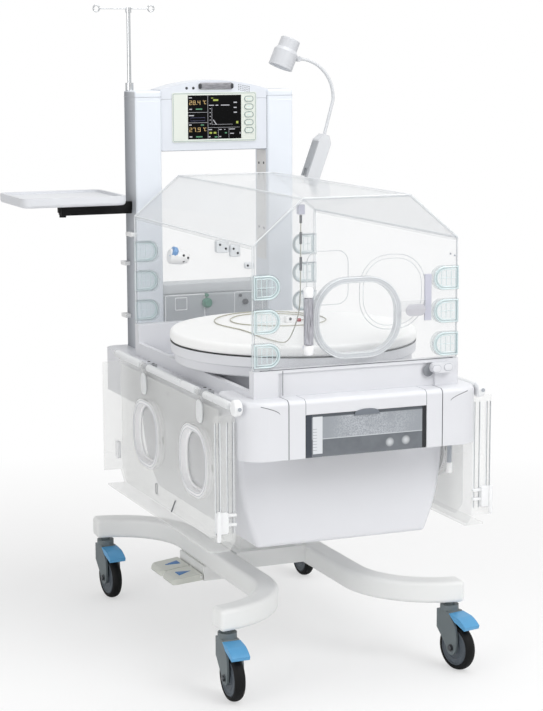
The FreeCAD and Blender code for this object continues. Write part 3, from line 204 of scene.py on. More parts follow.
# Casters. Glass-filled nylon forks with a pressed steel axle, a hub with a dished web and a
# black rubber tyre, and a blue brake pedal with grip ribs on the front of each fork.
def closed(points, faces):
    """A bmesh of points and faces with its doubles merged and its faces turned outwards."""
    made = bmesh.new()
    mesh = bpy.data.meshes.new("part")
    mesh.from_pydata(np.asarray(points, float).reshape(-1, 3).tolist(), [], [list(map(int, f)) for f in faces])
    made.from_mesh(mesh)
    bpy.data.meshes.remove(mesh)
    bmesh.ops.remove_doubles(made, verts=made.verts, dist=1e-6)
    bmesh.ops.dissolve_degenerate(made, edges=made.edges, dist=1e-7)
    bmesh.ops.recalc_face_normals(made, faces=made.faces)
    return made


def piece(name, shapes, finish, body, replaces=(), crease=35):
    """One object of one or more (points, faces) shapes, riding on a body of the frame."""
    points, faces, count = [], [], 0
    for shape_points, shape_faces in shapes:
        flat = np.asarray(shape_points, float).reshape(-1, 3)
        points.append(flat)
        faces += [[int(corner) + count for corner in face] for face in shape_faces]
        count += len(flat)
    made = closed(np.concatenate(points), faces)
    mesh = bpy.data.meshes.new(name)
    made.to_mesh(mesh)
    made.free()
    mesh.polygons.foreach_set("use_smooth", np.ones(len(mesh.polygons), bool))
    mesh.set_sharp_from_angle(angle=np.radians(crease))
    mesh.materials.append(finish.material)
    item = bpy.data.objects.new(name, mesh)
    bpy.context.scene.collection.objects.link(item)
    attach(item, body)
    if replaces:
        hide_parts(*replaces)
    return item


def web(rows, columns, ring=True, loop=False, caps=False):
    """Faces of a grid of points, row by row; a ring closes each row and a loop joins last to first."""
    row = np.arange(rows if loop else rows - 1)[:, None] * columns
    column = np.arange(columns if ring else columns - 1)[None]
    over = (row + columns) % (rows * columns)
    after = (column + 1) % columns
    faces = np.stack([row + column, row + after, over + after, over + column], -1).reshape(-1, 4).tolist()
    if caps:
        faces += [list(range(columns))[::-1], list(range((rows - 1) * columns, rows * columns))]
    return faces


def spun(profile, count=64, loop=True):
    """A profile of (along X, radius) pairs turned about the X axis: (a, r cos t, r sin t)."""
    along, radius = np.array(profile, float).T
    turn = np.linspace(0, 2 * np.pi, count, endpoint=False)
    points = np.stack([along[:, None] + 0 * turn, radius[:, None] * np.cos(turn),
                       radius[:, None] * np.sin(turn)], -1)
    return points, web(len(profile), count, loop=loop)


def moved(shape, matrix):
    """A shape after a 4 by 4 matrix."""
    points, faces = shape
    flat = np.asarray(points, float).reshape(-1, 3)
    place = np.array(matrix)
    return flat @ place[:3, :3].T + place[:3, 3], faces


def shifted(x, y, z):
    """A move along the three axes."""
    return Matrix.Translation((x, y, z))


def turned(degrees, axis):
    """A turn about an axis through the origin."""
    return Matrix.Rotation(np.radians(degrees), 4, axis)


nylon = coated("caster_nylon", seen(104, 113, 116), 0.5, peel=3e-5, grains=1600, tone=0.05)
hub_nylon = coated("wheel_hub_nylon", seen(74, 82, 90), 0.45, peel=3e-5, grains=1600, tone=0.05)
zinc = coated("zinc_plate", seen(96, 99, 102), 0.32, peel=1e-5, grains=300, tone=0.06, edge=0.0005, Metallic=1.0)

rubber = Finish("tyre_rubber", seen(14, 15, 16), 0.62, Specular_IOR_Level=0.2)
dust = rubber.noise(28, 4)
rubber.feed("Base Color", rubber.blend(dust, seen(4, 4, 5), seen(18, 19, 20)))
rubber.feed("Roughness", rubber.noise(90) * 0.2 + 0.5)
rubber.relief(rubber.noise(1400), 4e-5)

pedal_blue = coated("brake_pedal_blue", seen(88, 160, 208), 0.38, peel=2e-5, grains=1200, tone=0.04, edge=0.002)

WHEEL_RADIUS, WHEEL_HALF, TYRE_DEPTH, AXLE_RADIUS = 0.0625, 0.015, 0.013, 0.006
RIM = WHEEL_RADIUS - TYRE_DEPTH


def tyre_profile():
    """Flat sides that run into a crowned tread: the tread bows 1.2 mm over its width."""
    turn = np.radians(np.linspace(-78, 78, 15))
    shoulder, crown = 0.0122, 0.006
    tread = np.stack([shoulder * np.sin(turn) * 1.18, WHEEL_RADIUS - crown * 1.4 * (1 - np.cos(turn))], -1)
    sides = [(WHEEL_HALF, WHEEL_RADIUS - 0.010), (WHEEL_HALF - 0.0006, RIM + 0.002), (WHEEL_HALF - 0.002, RIM),
             (0.002 - WHEEL_HALF, RIM), (0.0006 - WHEEL_HALF, RIM + 0.002), (-WHEEL_HALF, WHEEL_RADIUS - 0.010)]
    return np.concatenate([tread, sides])


def hub_profile():
    """Rim lip, flat cover disc with two shallow rings and a boss, mirrored about the middle plane."""
    right = [(0.0125, RIM - 0.0004), (0.0142, RIM - 0.0025), (0.0142, RIM - 0.0050), (0.0122, RIM - 0.0062),
             (0.0122, 0.0335), (0.0132, 0.0325), (0.0132, 0.0295), (0.0120, 0.0285), (0.0118, 0.0195),
             (0.0138, 0.0180), (0.0148, 0.0160), (0.0148, AXLE_RADIUS + 0.0004)]
    return right + [(-along, radius) for along, radius in reversed(right)]


for corner in ("front_left", "front_right", "rear_left", "rear_right"):
    joint = next(item for item in frame["joints"] if item["name"] == "wheel_spin_" + corner)
    yaw = np.degrees(np.arctan2(joint["axis"][1], joint["axis"][0]))
    seat = shifted(*joint["pos_m"]) @ turned(yaw, "Z")
    wheel, fork = "caster_wheel_" + corner, "caster_fork_" + corner
    piece("tyre_" + corner, [moved(spun(tyre_profile(), 96), seat)], rubber, wheel, replaces=[wheel])
    piece("hub_" + corner, [moved(spun(hub_profile()), seat)], hub_nylon, wheel)
    nuts = []
    for side in (-1, 1):
        washer = spun([(side * 0.0230, 0.0), (side * 0.0230, 0.0105), (side * 0.0242, 0.0105), (side * 0.0242, 0)],
                      32, loop=False)
        head = spun([(side * 0.0242, 0.0), (side * 0.0242, 0.0078), (side * 0.0290, 0.0078), (side * 0.0298, 0.0064),
                     (side * 0.0298, 0)], 6, loop=False)
        nuts += [moved(washer, seat), moved(head, seat)]
    piece("axle_nuts_" + corner, nuts, zinc, fork)
    dress(nylon, fork)
    dress(pedal_blue, "brake_pedal_" + corner)


# Foot pedals. Two moulded pads beside the left leg, which lower and raise the cabinet; each has
# a raised blue arrow.
def outline_normals(outline):
    """Unit outward normals of a closed outline that runs counter-clockwise."""
    run = np.roll(outline, -1, 0) - np.roll(outline, 1, 0)
    out = np.stack([run[:, 1], -run[:, 0]], -1)
    return out / np.maximum(np.linalg.norm(out, axis=1, keepdims=True), 1e-12)


def slab(outline, low, high, edge=0.0008, plane="XY", steps=3):
    """A plate between two levels whose edges are quarter rounds.

    Each ring is the outline moved in by edge (1 - sin t) at a depth of edge (1 - cos t).
    """
    outline = np.asarray(outline, float)
    out = outline_normals(outline)
    turn = np.linspace(0, np.pi / 2, steps + 1)
    inset = edge * (1 - np.sin(turn))
    rings = [(inset[i], low + edge - edge * np.cos(turn[i])) for i in range(steps + 1)]
    rings += [(inset[i], high - edge + edge * np.cos(turn[i])) for i in range(steps, -1, -1)]
    points = np.stack([np.column_stack([outline - out * draw, np.full(len(outline), level)])
                       for draw, level in rings])
    order = {"XY": (0, 1, 2), "XZ": (0, 2, 1), "YZ": (2, 0, 1)}[plane]
    return points[..., order], web(len(rings), len(outline), caps=True)


pedal_grey = coated("foot_pedal_plastic", seen(214, 216, 208), 0.45, peel=3e-5, grains=900, tone=0.03, edge=0.002)
arrow_blue = coated("arrow_blue", seen(34, 112, 178), 0.4, peel=1e-5, grains=900, tone=0.03, edge=0.0006)
dress(pedal_grey, "lower_pedal", "raise_pedal")
ARROW_WIDTH, ARROW_LENGTH, ARROW_HEIGHT = 0.036, 0.042, 0.0012
PEDAL_SLOPE = np.degrees(np.arctan2(8, 91))
for name, way in (("lower_pedal", 1), ("raise_pedal", -1)):
    low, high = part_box(name)
    arrow = way * np.array([(-ARROW_LENGTH / 2, -ARROW_WIDTH / 2), (ARROW_LENGTH / 2, 0),
                            (-ARROW_LENGTH / 2, ARROW_WIDTH / 2)])
    spot = shifted(low.x + 0.055, (low.y + high.y) / 2, high.z - 0.0063) @ turned(-PEDAL_SLOPE, "Y")
    piece(name + "_arrow", [moved(slab(arrow, 0, ARROW_HEIGHT + 0.002), spot)], arrow_blue, name)


# Cabinet, deck and casing. Large injection mouldings in a cool white, with tight seams between the
# centre casing and its two end pieces.
shell = coated("cabinet_white", seen(226, 227, 231), 0.36, peel=1.2e-5, grains=500, tone=0.02, edge=0.0015)
dress(shell, "lower_housing", "deck", "turntable_ring", "hood_frame", "mattress_tray", "hood_latch")
casing = coated("casing_white", seen(224, 225, 229), 0.36, peel=1.2e-5, grains=500, tone=0.02, edge=0.0015)
across, along, level = casing.parts(casing.place())
aside, seam_tone = abs(across), seen(112, 116, 122)
casing.over(aside.within(0.2113, 0.2137, 0.0004), seam_tone)
casing.over(aside.within(0.1663, 0.1677, 0.0004) * level.above(0.754), seam_tone)
bend = level - ((aside - 0.236).math("MAXIMUM", 0.0) / 0.046).math("POWER", 0.6) * 0.021
casing.over(bend.within(0.7586, 0.7604, 0.0004) * aside.within(0.236, 0.286) * (1 - along.above(-0.6)),
            darker(seam_tone, 0.5))
casing.over(along.within(-0.5635, -0.5605, 0.0006) * level.above(0.789) * (1 - aside.above(0.176)), seam_tone)
dress(casing, "front_casing", "casing_ends")
steel = coated("brushed_steel", seen(84, 86, 88), 0.28, peel=5e-6, grains=900, tone=0.05, edge=0.0006, Metallic=1.0)
dress(steel, "lift_inner_tube")
hinge_finish = coated("hinge_lugs", seen(196, 198, 200), 0.3, peel=5e-6, grains=900, tone=0.05, edge=0.0006)
_, forward, _ = hinge_finish.parts(hinge_finish.place())
knob_share = 1 - forward.above(-0.60, 0.002)
hinge_finish.feed("Base Color", hinge_finish.blend(knob_share, seen(172, 174, 177), seen(244, 245, 246)))
dress(hinge_finish, "door_hinges")


# Water drawer. A smoked clear tray behind the casing, with a white water gauge at its left end.
smoke = Finish("drawer_smoke", seen(120, 125, 130), 0.12)
frost = smoke.noise(420, 5)
across, along, level = smoke.parts(smoke.place())
face = 1 - along.above(-0.655)
WATER_LINE = 0.689
smoke.feed("Base Color", smoke.blend(smoke.noise(30, 3), seen(96, 101, 107), seen(126, 131, 137)))
smoke.over(level.above(WATER_LINE, 0.003) * face, seen(158, 163, 169))
cloud = face * frost.above(0.50, 0.16) * (smoke.noise(24, 3) + 0.25).above(0.66, 0.3)
smoke.over(level.above(WATER_LINE, 0.003) * cloud * across.above(-0.08, 0.05) * (1 - across.above(0.11, 0.08)),
           seen(190, 194, 200))
smoke.over(level.within(WATER_LINE - 0.001, WATER_LINE + 0.001) * across.above(-0.121) * face, seen(206, 210, 214))
smoke.over(level.above(0.7445, 0.002) * face, seen(88, 93, 99))
for spot_x, spot_z in ((0.065, 0.666), (0.110, 0.668)):
    gap = (across - spot_x) * (across - spot_x) + (level - spot_z) * (level - spot_z)
    smoke.over((1 - gap.above(0.00008, 0.00016)) * face * 0.8, seen(226, 229, 232))
smoke.over((1 - across.above(-0.150)) * face, seen(62, 68, 78))
smoke.over(across.above(0.156) * face, seen(34, 36, 40))
smoke.over(across.within(-0.147, -0.121) * level.within(0.652, 0.746) * face, seen(226, 229, 233))
tick = (level / 0.0076).math("FRACT").within(0.0, 0.14, 0.04)
smoke.over(tick * across.within(-0.147, -0.136) * level.within(0.656, 0.716) * face, seen(150, 154, 160))
smoke.feed("Alpha", face * 0.42 + 0.5)
smoke.feed("Roughness", frost * 0.25 + 0.05)
dress(smoke, "water_drawer")
drawer_dark = coated("drawer_pull", seen(116, 122, 130), 0.2, edge=0.0006)
arch = np.concatenate([[(-0.037, 0.7425)], [(-0.034 * np.cos(angle), 0.7445 + 0.0135 * np.sin(angle) ** 0.7)
                                            for angle in np.linspace(0, np.pi, 15)], [(0.037, 0.7425)]])[::-1]
piece("drawer_pull", [slab(arch, -0.6665, -0.6652, 0.0005, "XZ")], drawer_dark, "water_drawer")


# Turntable and mattress. The tray and its foam mattress turn on a fixed ring; the mattress has a
# wipe-clean white cover with a welded edge.
low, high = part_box("mattress")
TRAY_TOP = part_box("mattress_tray")[1].z
BED_CENTRE = (low + high) / 2
BED_RADIUS = (high.x - low.x) / 2
cover = Finish("mattress_cover", seen(251, 251, 250), 0.55, Sheen_Weight=0.15)
crumple = cover.noise(9, 4)
cover.feed("Base Color", cover.blend(cover.noise(40, 4), seen(249, 249, 248), seen(253, 253, 252)))
cover.feed("Roughness", cover.noise(60) * 0.14 + 0.48)
cover.relief(crumple * 0.8 + cover.noise(900) * 0.02, 0.0035)


def mattress_rows():
    """Radius and height from the underside's middle, up the plug in the tray, round the edge to the top.

    The overhanging edge is a superellipse, |r/a|^2.9 + |z/b|^2.9 = 1, and the top crowns by 1 mm.
    """
    lip, bend = TRAY_TOP + 0.0013, 0.014
    half = (high.z - lip) / 2
    turn = np.linspace(-np.pi / 2, np.pi / 2, 25)
    edge_radius = BED_RADIUS - bend + bend * abs(np.cos(turn)) ** 0.7
    edge_height = lip + half + half * np.sign(np.sin(turn)) * abs(np.sin(turn)) ** 0.7
    top_radius = np.linspace(BED_RADIUS - bend, 0, 14)[1:]
    crown = 0.001 * (1 - (top_radius / BED_RADIUS) ** 2)
    plug = BED_RADIUS - 0.014
    return (np.concatenate([[0, plug - 0.003, plug, plug], edge_radius[1:], top_radius]),
            np.concatenate([[low.z, low.z, low.z + 0.003, lip], edge_height[1:], high.z - 0.001 + crown]))


def round_pad(count=128):
    """The mattress rows turned about the upright axis, with a slight slow waver of the edge."""
    radius, height = mattress_rows()
    turn = np.linspace(0, 2 * np.pi, count, endpoint=False)
    waver = 1 - 0.0015 * (1 + np.sin(7 * turn + 1) * np.sin(3 * turn))
    points = np.stack([radius[:, None] * waver * np.cos(turn), radius[:, None] * waver * np.sin(turn),
                       height[:, None] + 0 * turn], -1)
    return points + np.array((BED_CENTRE.x, BED_CENTRE.y, 0)), web(len(radius), count)


# A dark ring tucked under the mattress's overhanging edge: painted shade of the gap between tray and mattress.
gap_shade_finish = coated("tray_gap_painted_shade", seen(34, 36, 38), 0.6, edge=0.0)
gap_shade_rows = [(TRAY_TOP - 0.0002, BED_RADIUS - 0.006), (TRAY_TOP - 0.0002, BED_RADIUS - 0.0022),
             (TRAY_TOP + 0.0036, BED_RADIUS - 0.0022), (TRAY_TOP + 0.0036, BED_RADIUS - 0.006)]
piece("tray_gap", [moved(spun(gap_shade_rows, 160), shifted(BED_CENTRE.x, BED_CENTRE.y, 0) @ turned(-90, "Y"))], gap_shade_finish,
      "mattress")
mattress = piece("mattress_pad", [round_pad()], cover, "mattress", replaces=["mattress"], crease=60)


# Sensor cable and pod. A 3 mm beige cable hangs from its clip at the top of the front wall, crosses
# the edge of the mattress, lies there in two loose turns and plugs into a small white pod.
CABLE_DIAMETER, CABLE_LENGTH = 0.003, 2.206
CABLE_CLIP = (-0.149, -0.5925, 1.244)
REST = high.z + 0.0018
TURNS = ((-28, 116), (-8, 122), (14, 119), (40, 113), (67, 115), (94, 122), (121, 121), (149, 117),
         (177, 123), (204, 131), (229, 129), (254, 133), (278, 143), (300, 150), (321, 154), (343, 152),
         (365, 148), (388, 146), (411, 151), (433, 158), (454, 160), (475, 156), (497, 155), (519, 161),
         (540, 170), (556, 180))


def cable_route():
    """The cable's points from the pod to the clip: the turns are (degrees, mm) round (0, -45) mm."""
    angle, reach = np.radians([turn for turn, _ in TURNS]), np.array([reach for _, reach in TURNS]) / 1000
    socket = REST + 0.0025
    turns = np.stack([reach * np.cos(angle), reach * np.sin(angle) - 0.045, REST + 0 * reach], -1)
    run = np.array([(-163, -145, 0), (-153, -193, 0), (-149, -246, 0), (-153, -300, 0), (-154, -352, 0),
                    (-148, -402, 0), (-145, -449, 1), (-148, -493, 7), (-151, -531, 26), (-152, -560, 55),
                    (-150, -581, 92), (-149, -592.5, 140)]) / 1000 + (0, 0, REST)
    return np.concatenate([[(0.060, -0.108, socket), (0.076, -0.107, socket - 0.001)], turns, run,
                           [CABLE_CLIP]])


def wire(name, route, diameter, finish):
    """A smooth spline curve of round section with the route as its control points."""
    data = bpy.data.curves.new(name, "CURVE")
    data.dimensions = "3D"
    data.bevel_depth, data.bevel_resolution, data.resolution_u = diameter / 2, 3, 6
    data.use_fill_caps = True
    line = data.splines.new("NURBS")
    line.points.add(len(route) - 1)
    line.points.foreach_set("co", np.column_stack([route, np.ones(len(route))]).ravel())
    line.order_u = 3
    line.use_endpoint_u = True
    data.materials.append(finish.material)
    item = bpy.data.objects.new(name, data)
    bpy.context.scene.collection.objects.link(item)
    return item


cable_skin = coated("cable_sheath", seen(176, 174, 158), 0.42, peel=1e-5, grains=1200, tone=0.06, edge=0.0)
pod_white = coated("pod_white", seen(238, 238, 238), 0.35, edge=0.0015)
red_plastic = coated("plug_red", seen(158, 38, 44), 0.35, edge=0.0006)
dark_plastic = coated("dark_plastic", seen(44, 46, 50), 0.42, edge=0.0006)
dress(pod_white, "sensor_pod")


def band(along, outer, inner, chamfer=0.0006):
    """Rows of a sleeve between two places along X, as (along, radius) pairs."""
    start, end = along
    return [(start, inner), (start, outer - chamfer), (start + chamfer, outer), (end - chamfer, outer),
            (end, outer - chamfer), (end, inner)]


def upright(shape, x, y, z=0.0):
    """A shape made along X, stood up along Z at a place."""
    return moved(shape, shifted(x, y, z) @ turned(-90, "Y"))


pod_low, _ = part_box("sensor_pod")
plug_centre = shifted(0, -0.108, REST + 0.0025)
collar = piece("pod_collar", [moved(spun(band((0.047, 0.0597), 0.0049, 0.0041), 32), plug_centre)], red_plastic,
               "cabinet")
eye = piece("pod_eye", [moved(spun([(0, 0), (0, 0.0046), (0.0012, 0.0040), (0.0012, 0)], 24, loop=False),
                              shifted(0.024, pod_low.y + 0.0004, REST + 0.0085) @ turned(-90, "Z"))], dark_plastic,
            "cabinet")
sleeves = [upright(spun(band((low_end, low_end + length), 0.0034, 0.0017), 20), *CABLE_CLIP[:2])
           for low_end, length in ((1.104, 0.034), (1.170, 0.030), (1.222, 0.020))]
ties = piece("cable_sleeves", sleeves, dark_plastic, "cabinet")
cable = wire("sensor_cable_line", cable_route(), CABLE_DIAMETER, cable_skin)
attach(cable, "cabinet")
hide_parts("sensor_cable")


# Hood. Clear acrylic sheets, 5 mm thick, glued at their edges, with a thin grey line beside them; near-white beads
# along the edges are painted highlight. The front port has a silicone seal, a clear door and a barrel hinge.
def clear_sheet(name, colour, pale, through=0.10, rim=0.55, gloss=0.06):
    """Clear plastic that lets less through at a slant; its tone drifts over the sheet to a paler one."""
    finish = Finish(name, colour, gloss)
    slant = finish.node("ShaderNodeLayerWeight", {}, 0.35, out="Facing")
    finish.feed("Alpha", slant.math("POWER", 3) * (rim - through) + through)
    finish.feed("Base Color", finish.blend(finish.noise(5, 3), colour, pale))
    finish.feed("Roughness", finish.noise(12) * 0.05 + gloss)
    return finish


acrylic = clear_sheet("hood_acrylic", seen(212, 215, 218), seen(232, 235, 238), through=0.13)
door_acrylic = clear_sheet("door_acrylic", seen(238, 239, 238), seen(246, 247, 246), through=0.22, rim=0.62)
dress(acrylic, "front_wall", "rear_wall", "canopy", "front_port_door")
dress(door_acrylic, "left_door", "right_door", "left_port_door_front", "left_port_door_rear",
      "right_port_door_front", "right_port_door_rear")
seal = coated("white_silicone", seen(249, 249, 250), 0.3, peel=2e-5, grains=500, tone=0.02, edge=0.003)
dress(seal, "left_door_gaskets", "right_door_gaskets")
port_seal = Finish("clear_silicone_seal", seen(236, 239, 242), 0.2, Alpha=0.78)
port_seal.feed("Roughness", port_seal.noise(60) * 0.12 + 0.16)
dress(port_seal, "front_port_gasket")
fitting = coated("latch_plastic", seen(200, 201, 214), 0.35, tone=0.03)
dress(fitting, "front_port_fittings")

# Near-white beads: painted highlight on the hood's sheet edges, the port seal's rims and the door ribs.
edge_highlight = coated("painted_edge_highlight", seen(246, 249, 251), 0.15, tone=0.01, edge=0.0, Alpha=0.85)
seam_grey = coated("seam_grey", seen(168, 173, 180), 0.3, tone=0.03, edge=0.0)
HALF, ROOF, SHOULDER, TOP, FOOT = 0.284, 0.149, 1.172, 1.285, 0.862
FRONT, REAR = -0.6025, 0.2975


def hood_line(inset):
    """The hood's outline in X and Z, drawn in by a length, from foot to foot over the roof."""
    return np.array([(inset - HALF, FOOT), (inset - HALF, SHOULDER - inset * 0.6), (inset * 0.7 - ROOF, TOP - inset),
                     (ROOF - inset * 0.7, TOP - inset), (HALF - inset, SHOULDER - inset * 0.6), (HALF - inset, FOOT)])


def swept(path, radius, count=10, up=(0, 0, 1), caps=True):
    """A round wire along a path: each ring is radius (cos t side + sin t over), square to the path."""
    path = np.asarray(path, float)
    along = np.gradient(path, axis=0)
    along /= np.linalg.norm(along, axis=1, keepdims=True)
    side = np.cross(along, np.array(up, float))
    side /= np.linalg.norm(side, axis=1, keepdims=True)
    over = np.cross(side, along)
    turn = np.linspace(0, 2 * np.pi, count, endpoint=False)
    radius = np.broadcast_to(radius, len(path))[:, None, None]
    rings = path[:, None] + radius * (np.cos(turn)[:, None] * side[:, None] + np.sin(turn)[:, None] * over[:, None])
    return rings, web(len(path), count, caps=caps)


def run_between(start, end, radius, count=8):
    """A straight round bead between two points."""
    share = np.linspace(0, 1, 3)[:, None]
    path = np.array(start) * (1 - share) + np.array(end) * share
    up = (1, 0, 0) if abs(path[-1][0] - path[0][0]) < 1e-6 else (0, 1, 0)
    return swept(path, radius, count, up=up)


def hood_beads(inset, radius, ends=(FRONT, REAR)):
    """Beads along the front and rear outlines and along the four bends between them."""
    outline = hood_line(inset)
    made = []
    for y in ends:
        for first, second in zip(outline, outline[1:]):
            made.append(run_between((first[0], y, first[1]), (second[0], y, second[1]), radius))
    for x, z in outline[1:5]:
        made.append(run_between((x, ends[0], z), (x, ends[1], z), radius))
    return made


piece("hood_edge_highlights", hood_beads(0.0012, 0.0016), edge_highlight, "cabinet")
piece("hood_seams", hood_beads(0.0052, 0.0006, (FRONT - 0.0022, REAR + 0.0022)), seam_grey, "cabinet")


# Tubing grommets. Clear silicone flaps in the front and rear walls, one above the other at each
# side, with a bright bluish rim and thin ribs across the flap.
def loop_of(outline, radius, plane, level, count=8):
    """A closed round bead along a flat outline, at a level of the plane's third axis."""
    outline = np.asarray(outline, float)
    out = outline_normals(outline)
    turn = np.linspace(0, 2 * np.pi, count, endpoint=False)
    points = np.stack([np.column_stack([outline + out * radius * np.cos(angle),
                                        np.full(len(outline), level + radius * np.sin(angle))])
                       for angle in turn], 1)
    order = {"XY": (0, 1, 2), "XZ": (0, 2, 1), "YZ": (2, 0, 1)}[plane]
    return points[..., order], web(len(outline), count, loop=True)


flap = Finish("silicone_flap", seen(208, 220, 223), 0.22, Alpha=0.2)
flap.feed("Roughness", flap.noise(80) * 0.1 + 0.18)
dress(flap, "tubing_grommets")
rim_cyan = coated("silicone_rim", seen(220, 234, 236), 0.18, peel=1e-5, tone=0.04, edge=0.0, Alpha=0.9)
groove_cyan = coated("silicone_groove", seen(166, 190, 194), 0.25, tone=0.05, edge=0.0)
FLAP_WIDTH, FLAP_HEIGHT, FLAP_PITCH, FLAP_LOWEST = 0.072, 0.062, 0.085, 0.898


def flap_outline(side, level, inset):
    """A half-round tongue with its flat end at the hood's side, drawn in by a length."""
    radius = FLAP_HEIGHT / 2 - inset
    turn = np.linspace(-np.pi / 2, np.pi / 2, 17)
    centre = HALF - FLAP_WIDTH + FLAP_HEIGHT / 2
    tongue = np.stack([radius * np.cos(turn) - centre, level + radius * np.sin(turn)], -1)
    flat = HALF - inset
    corners = np.array([(-flat, level + radius), (-flat, level - radius)])
    outline = np.concatenate([tongue, corners])
    outline[:, 0] *= -side
    return outline if side > 0 else outline[::-1]


rims, grooves, ribs = [], [], []
for side in (-1, 1):
    for front in (True, False):
        face = -0.611 if front else 0.306
        out = -1 if front else 1
        for row in range(3):
            level = FLAP_LOWEST + row * FLAP_PITCH
            rims.append(loop_of(flap_outline(side, level, 0.0030), 0.0024, "XZ", face + out * 0.0004))
            rims.append(loop_of(flap_outline(side, level, 0.0090), 0.0015, "XZ", face + out * 0.0002))
            grooves.append(loop_of(flap_outline(side, level, 0.0060), 0.0006, "XZ", face + out * 0.0006))
            for place in (0.234, 0.248, 0.262):
                ribs.append(run_between((side * place, face, level - 0.019), (side * place, face, level + 0.019),
                                        0.0008))
            ribs.append(run_between((side * 0.227, face, level), (side * 0.274, face, level), 0.0008))
piece("grommet_rims", rims, rim_cyan, "cabinet")
piece("grommet_grooves", grooves, groove_cyan, "cabinet")
piece("grommet_ribs", ribs, rim_cyan, "cabinet")


# Front port hinge. A dark polished barrel stands between two white caps at the port's left side.
barrel = Finish("hinge_barrel", seen(150, 151, 158), 0.18, Metallic=0.5)
# A light band down the dark barrel is a painted reflection.
reflection_band = barrel.noise(160, 4, (6, 6, 0.15))
barrel.feed("Base Color", barrel.blend(reflection_band.within(0.42, 0.62, 0.12), seen(92, 93, 100), seen(205, 205, 212)))
barrel.feed("Roughness", barrel.noise(90) * 0.15 + 0.12)
HINGE_X, HINGE_Y = -0.141, -0.6193
piece("port_hinge_barrel", [upright(spun(band((0.922, 1.038), 0.0122, 0.0092), 40), HINGE_X, HINGE_Y - 0.003)],
      barrel, "front_port_door")
CAP, PORT_LEVEL = 0.026, 0.980
cap_rows = [(0, 0), (0, 0.0105), (0.0035, 0.0125), (CAP - 0.006, 0.0125), (CAP - 0.0015, 0.0095), (CAP, 0.004),
            (CAP, 0)]
upper_cap = upright(spun(cap_rows, 40, loop=False), HINGE_X, HINGE_Y - 0.003, 1.0395)
lower_cap = moved(upper_cap, shifted(0, 0, 2 * PORT_LEVEL) @ Matrix.Scale(-1, 4, (0, 0, 1)))
piece("port_hinge_caps", [upper_cap, lower_cap], seal, "cabinet")


def oval(width, height, radius, centre=(0, 0), steps=8):
    """A rectangle with round corners, counter-clockwise."""
    turn = np.linspace(0, np.pi / 2, steps + 1)
    corners = []
    for number, (x, y) in enumerate(((1, 1), (-1, 1), (-1, -1), (1, -1))):
        angle = turn + number * np.pi / 2
        corners.append(np.stack([x * (width / 2 - radius) + radius * np.cos(angle),
                                 y * (height / 2 - radius) + radius * np.sin(angle)], -1))
    return np.concatenate(corners) + np.array(centre)


CONSOLE_FACE = CASE_FACE = 0.392


def knob(x, z, radius, length, face=CONSOLE_FACE, chamfer=0.0015):
    """A turned button on a wall that faces the front, standing out by its length."""
    rows = [(0, 0), (0, radius), (length - chamfer, radius), (length, radius - chamfer), (length, 0)]
    return moved(spun(rows, 28, loop=False), shifted(x, face, z) @ turned(-90, "Z"))


def port_line(size, corner, centre, inset):
    """The oval of a port, drawn in by a length."""
    return oval(size[0] - 2 * inset, size[1] - 2 * inset, corner - inset, centre, 12)


FRONT_PORT = ((0.242, 0.206), 0.092, (0, 0.980))
piece("port_seal_beads", [loop_of(port_line(*FRONT_PORT, inset), 0.0015, "XZ", -0.6094)
                          for inset in (0.0020, 0.0130)], edge_highlight, "cabinet")
piece("port_seal_grooves", [loop_of(port_line(*FRONT_PORT, inset), 0.0005, "XZ", -0.6104)
                            for inset in (0.0042, 0.0095)], seam_grey, "cabinet")
faint = coated("faint_line", seen(214, 217, 220), 0.25, tone=0.02, edge=0.0, Alpha=0.75)
piece("wall_outlines", [loop_of(oval(0.113, 0.135, 0.030, (-0.082, 1.084)), 0.0010, "XZ", FRONT - 0.0025),
                        loop_of(oval(0.184, 0.190, 0.080, (0.098, 1.040)), 0.0010, "XZ", FRONT - 0.0025),
                        loop_of(oval(0.164, 0.170, 0.070, (0.098, 1.040)), 0.0008, "XZ", FRONT - 0.0025)], faint,
      "cabinet")
paddle = coated("latch_paddle", seen(206, 206, 212), 0.3, edge=0.0008, Alpha=0.85)
piece("port_paddle", [slab(oval(0.056, 0.030, 0.015, (0.152, 0.993)), -0.6300, -0.6279, 0.0006, "XZ")], paddle,
      "front_port_door")
piece("wall_screws", [knob(x, z, 0.0026, 0.0012, FRONT - 0.0026, 0.0004) for x, z in ((0.262, 1.129), (0.274, 1.124))],
      seam_grey, "cabinet")
dark_seam = coated("dark_seam", seen(98, 101, 106), 0.5, edge=0.0)
piece("frame_seams", [run_between((-0.268, -0.6112, 0.8612), (0.268, -0.6112, 0.8612), 0.0009),
                      run_between((-0.206, -0.6110, 0.796), (-0.206, -0.6110, 0.858), 0.0009)], dark_seam,
      "cabinet")
LATCH_FACE, LATCH_PADS = -0.6290, ((0.214, 0.838), (0.247, 0.840))
piece("latch_ovals", [slab(oval(0.023, 0.017, 0.008, pad), -0.6306, LATCH_FACE, 0.0006, "XZ") for pad in LATCH_PADS],
      shell, "hood_latch")
piece("latch_lines", [loop_of(oval(0.024, 0.018, 0.0085, pad), 0.0006, "XZ", LATCH_FACE) for pad in LATCH_PADS],
      seam_grey, "hood_latch")
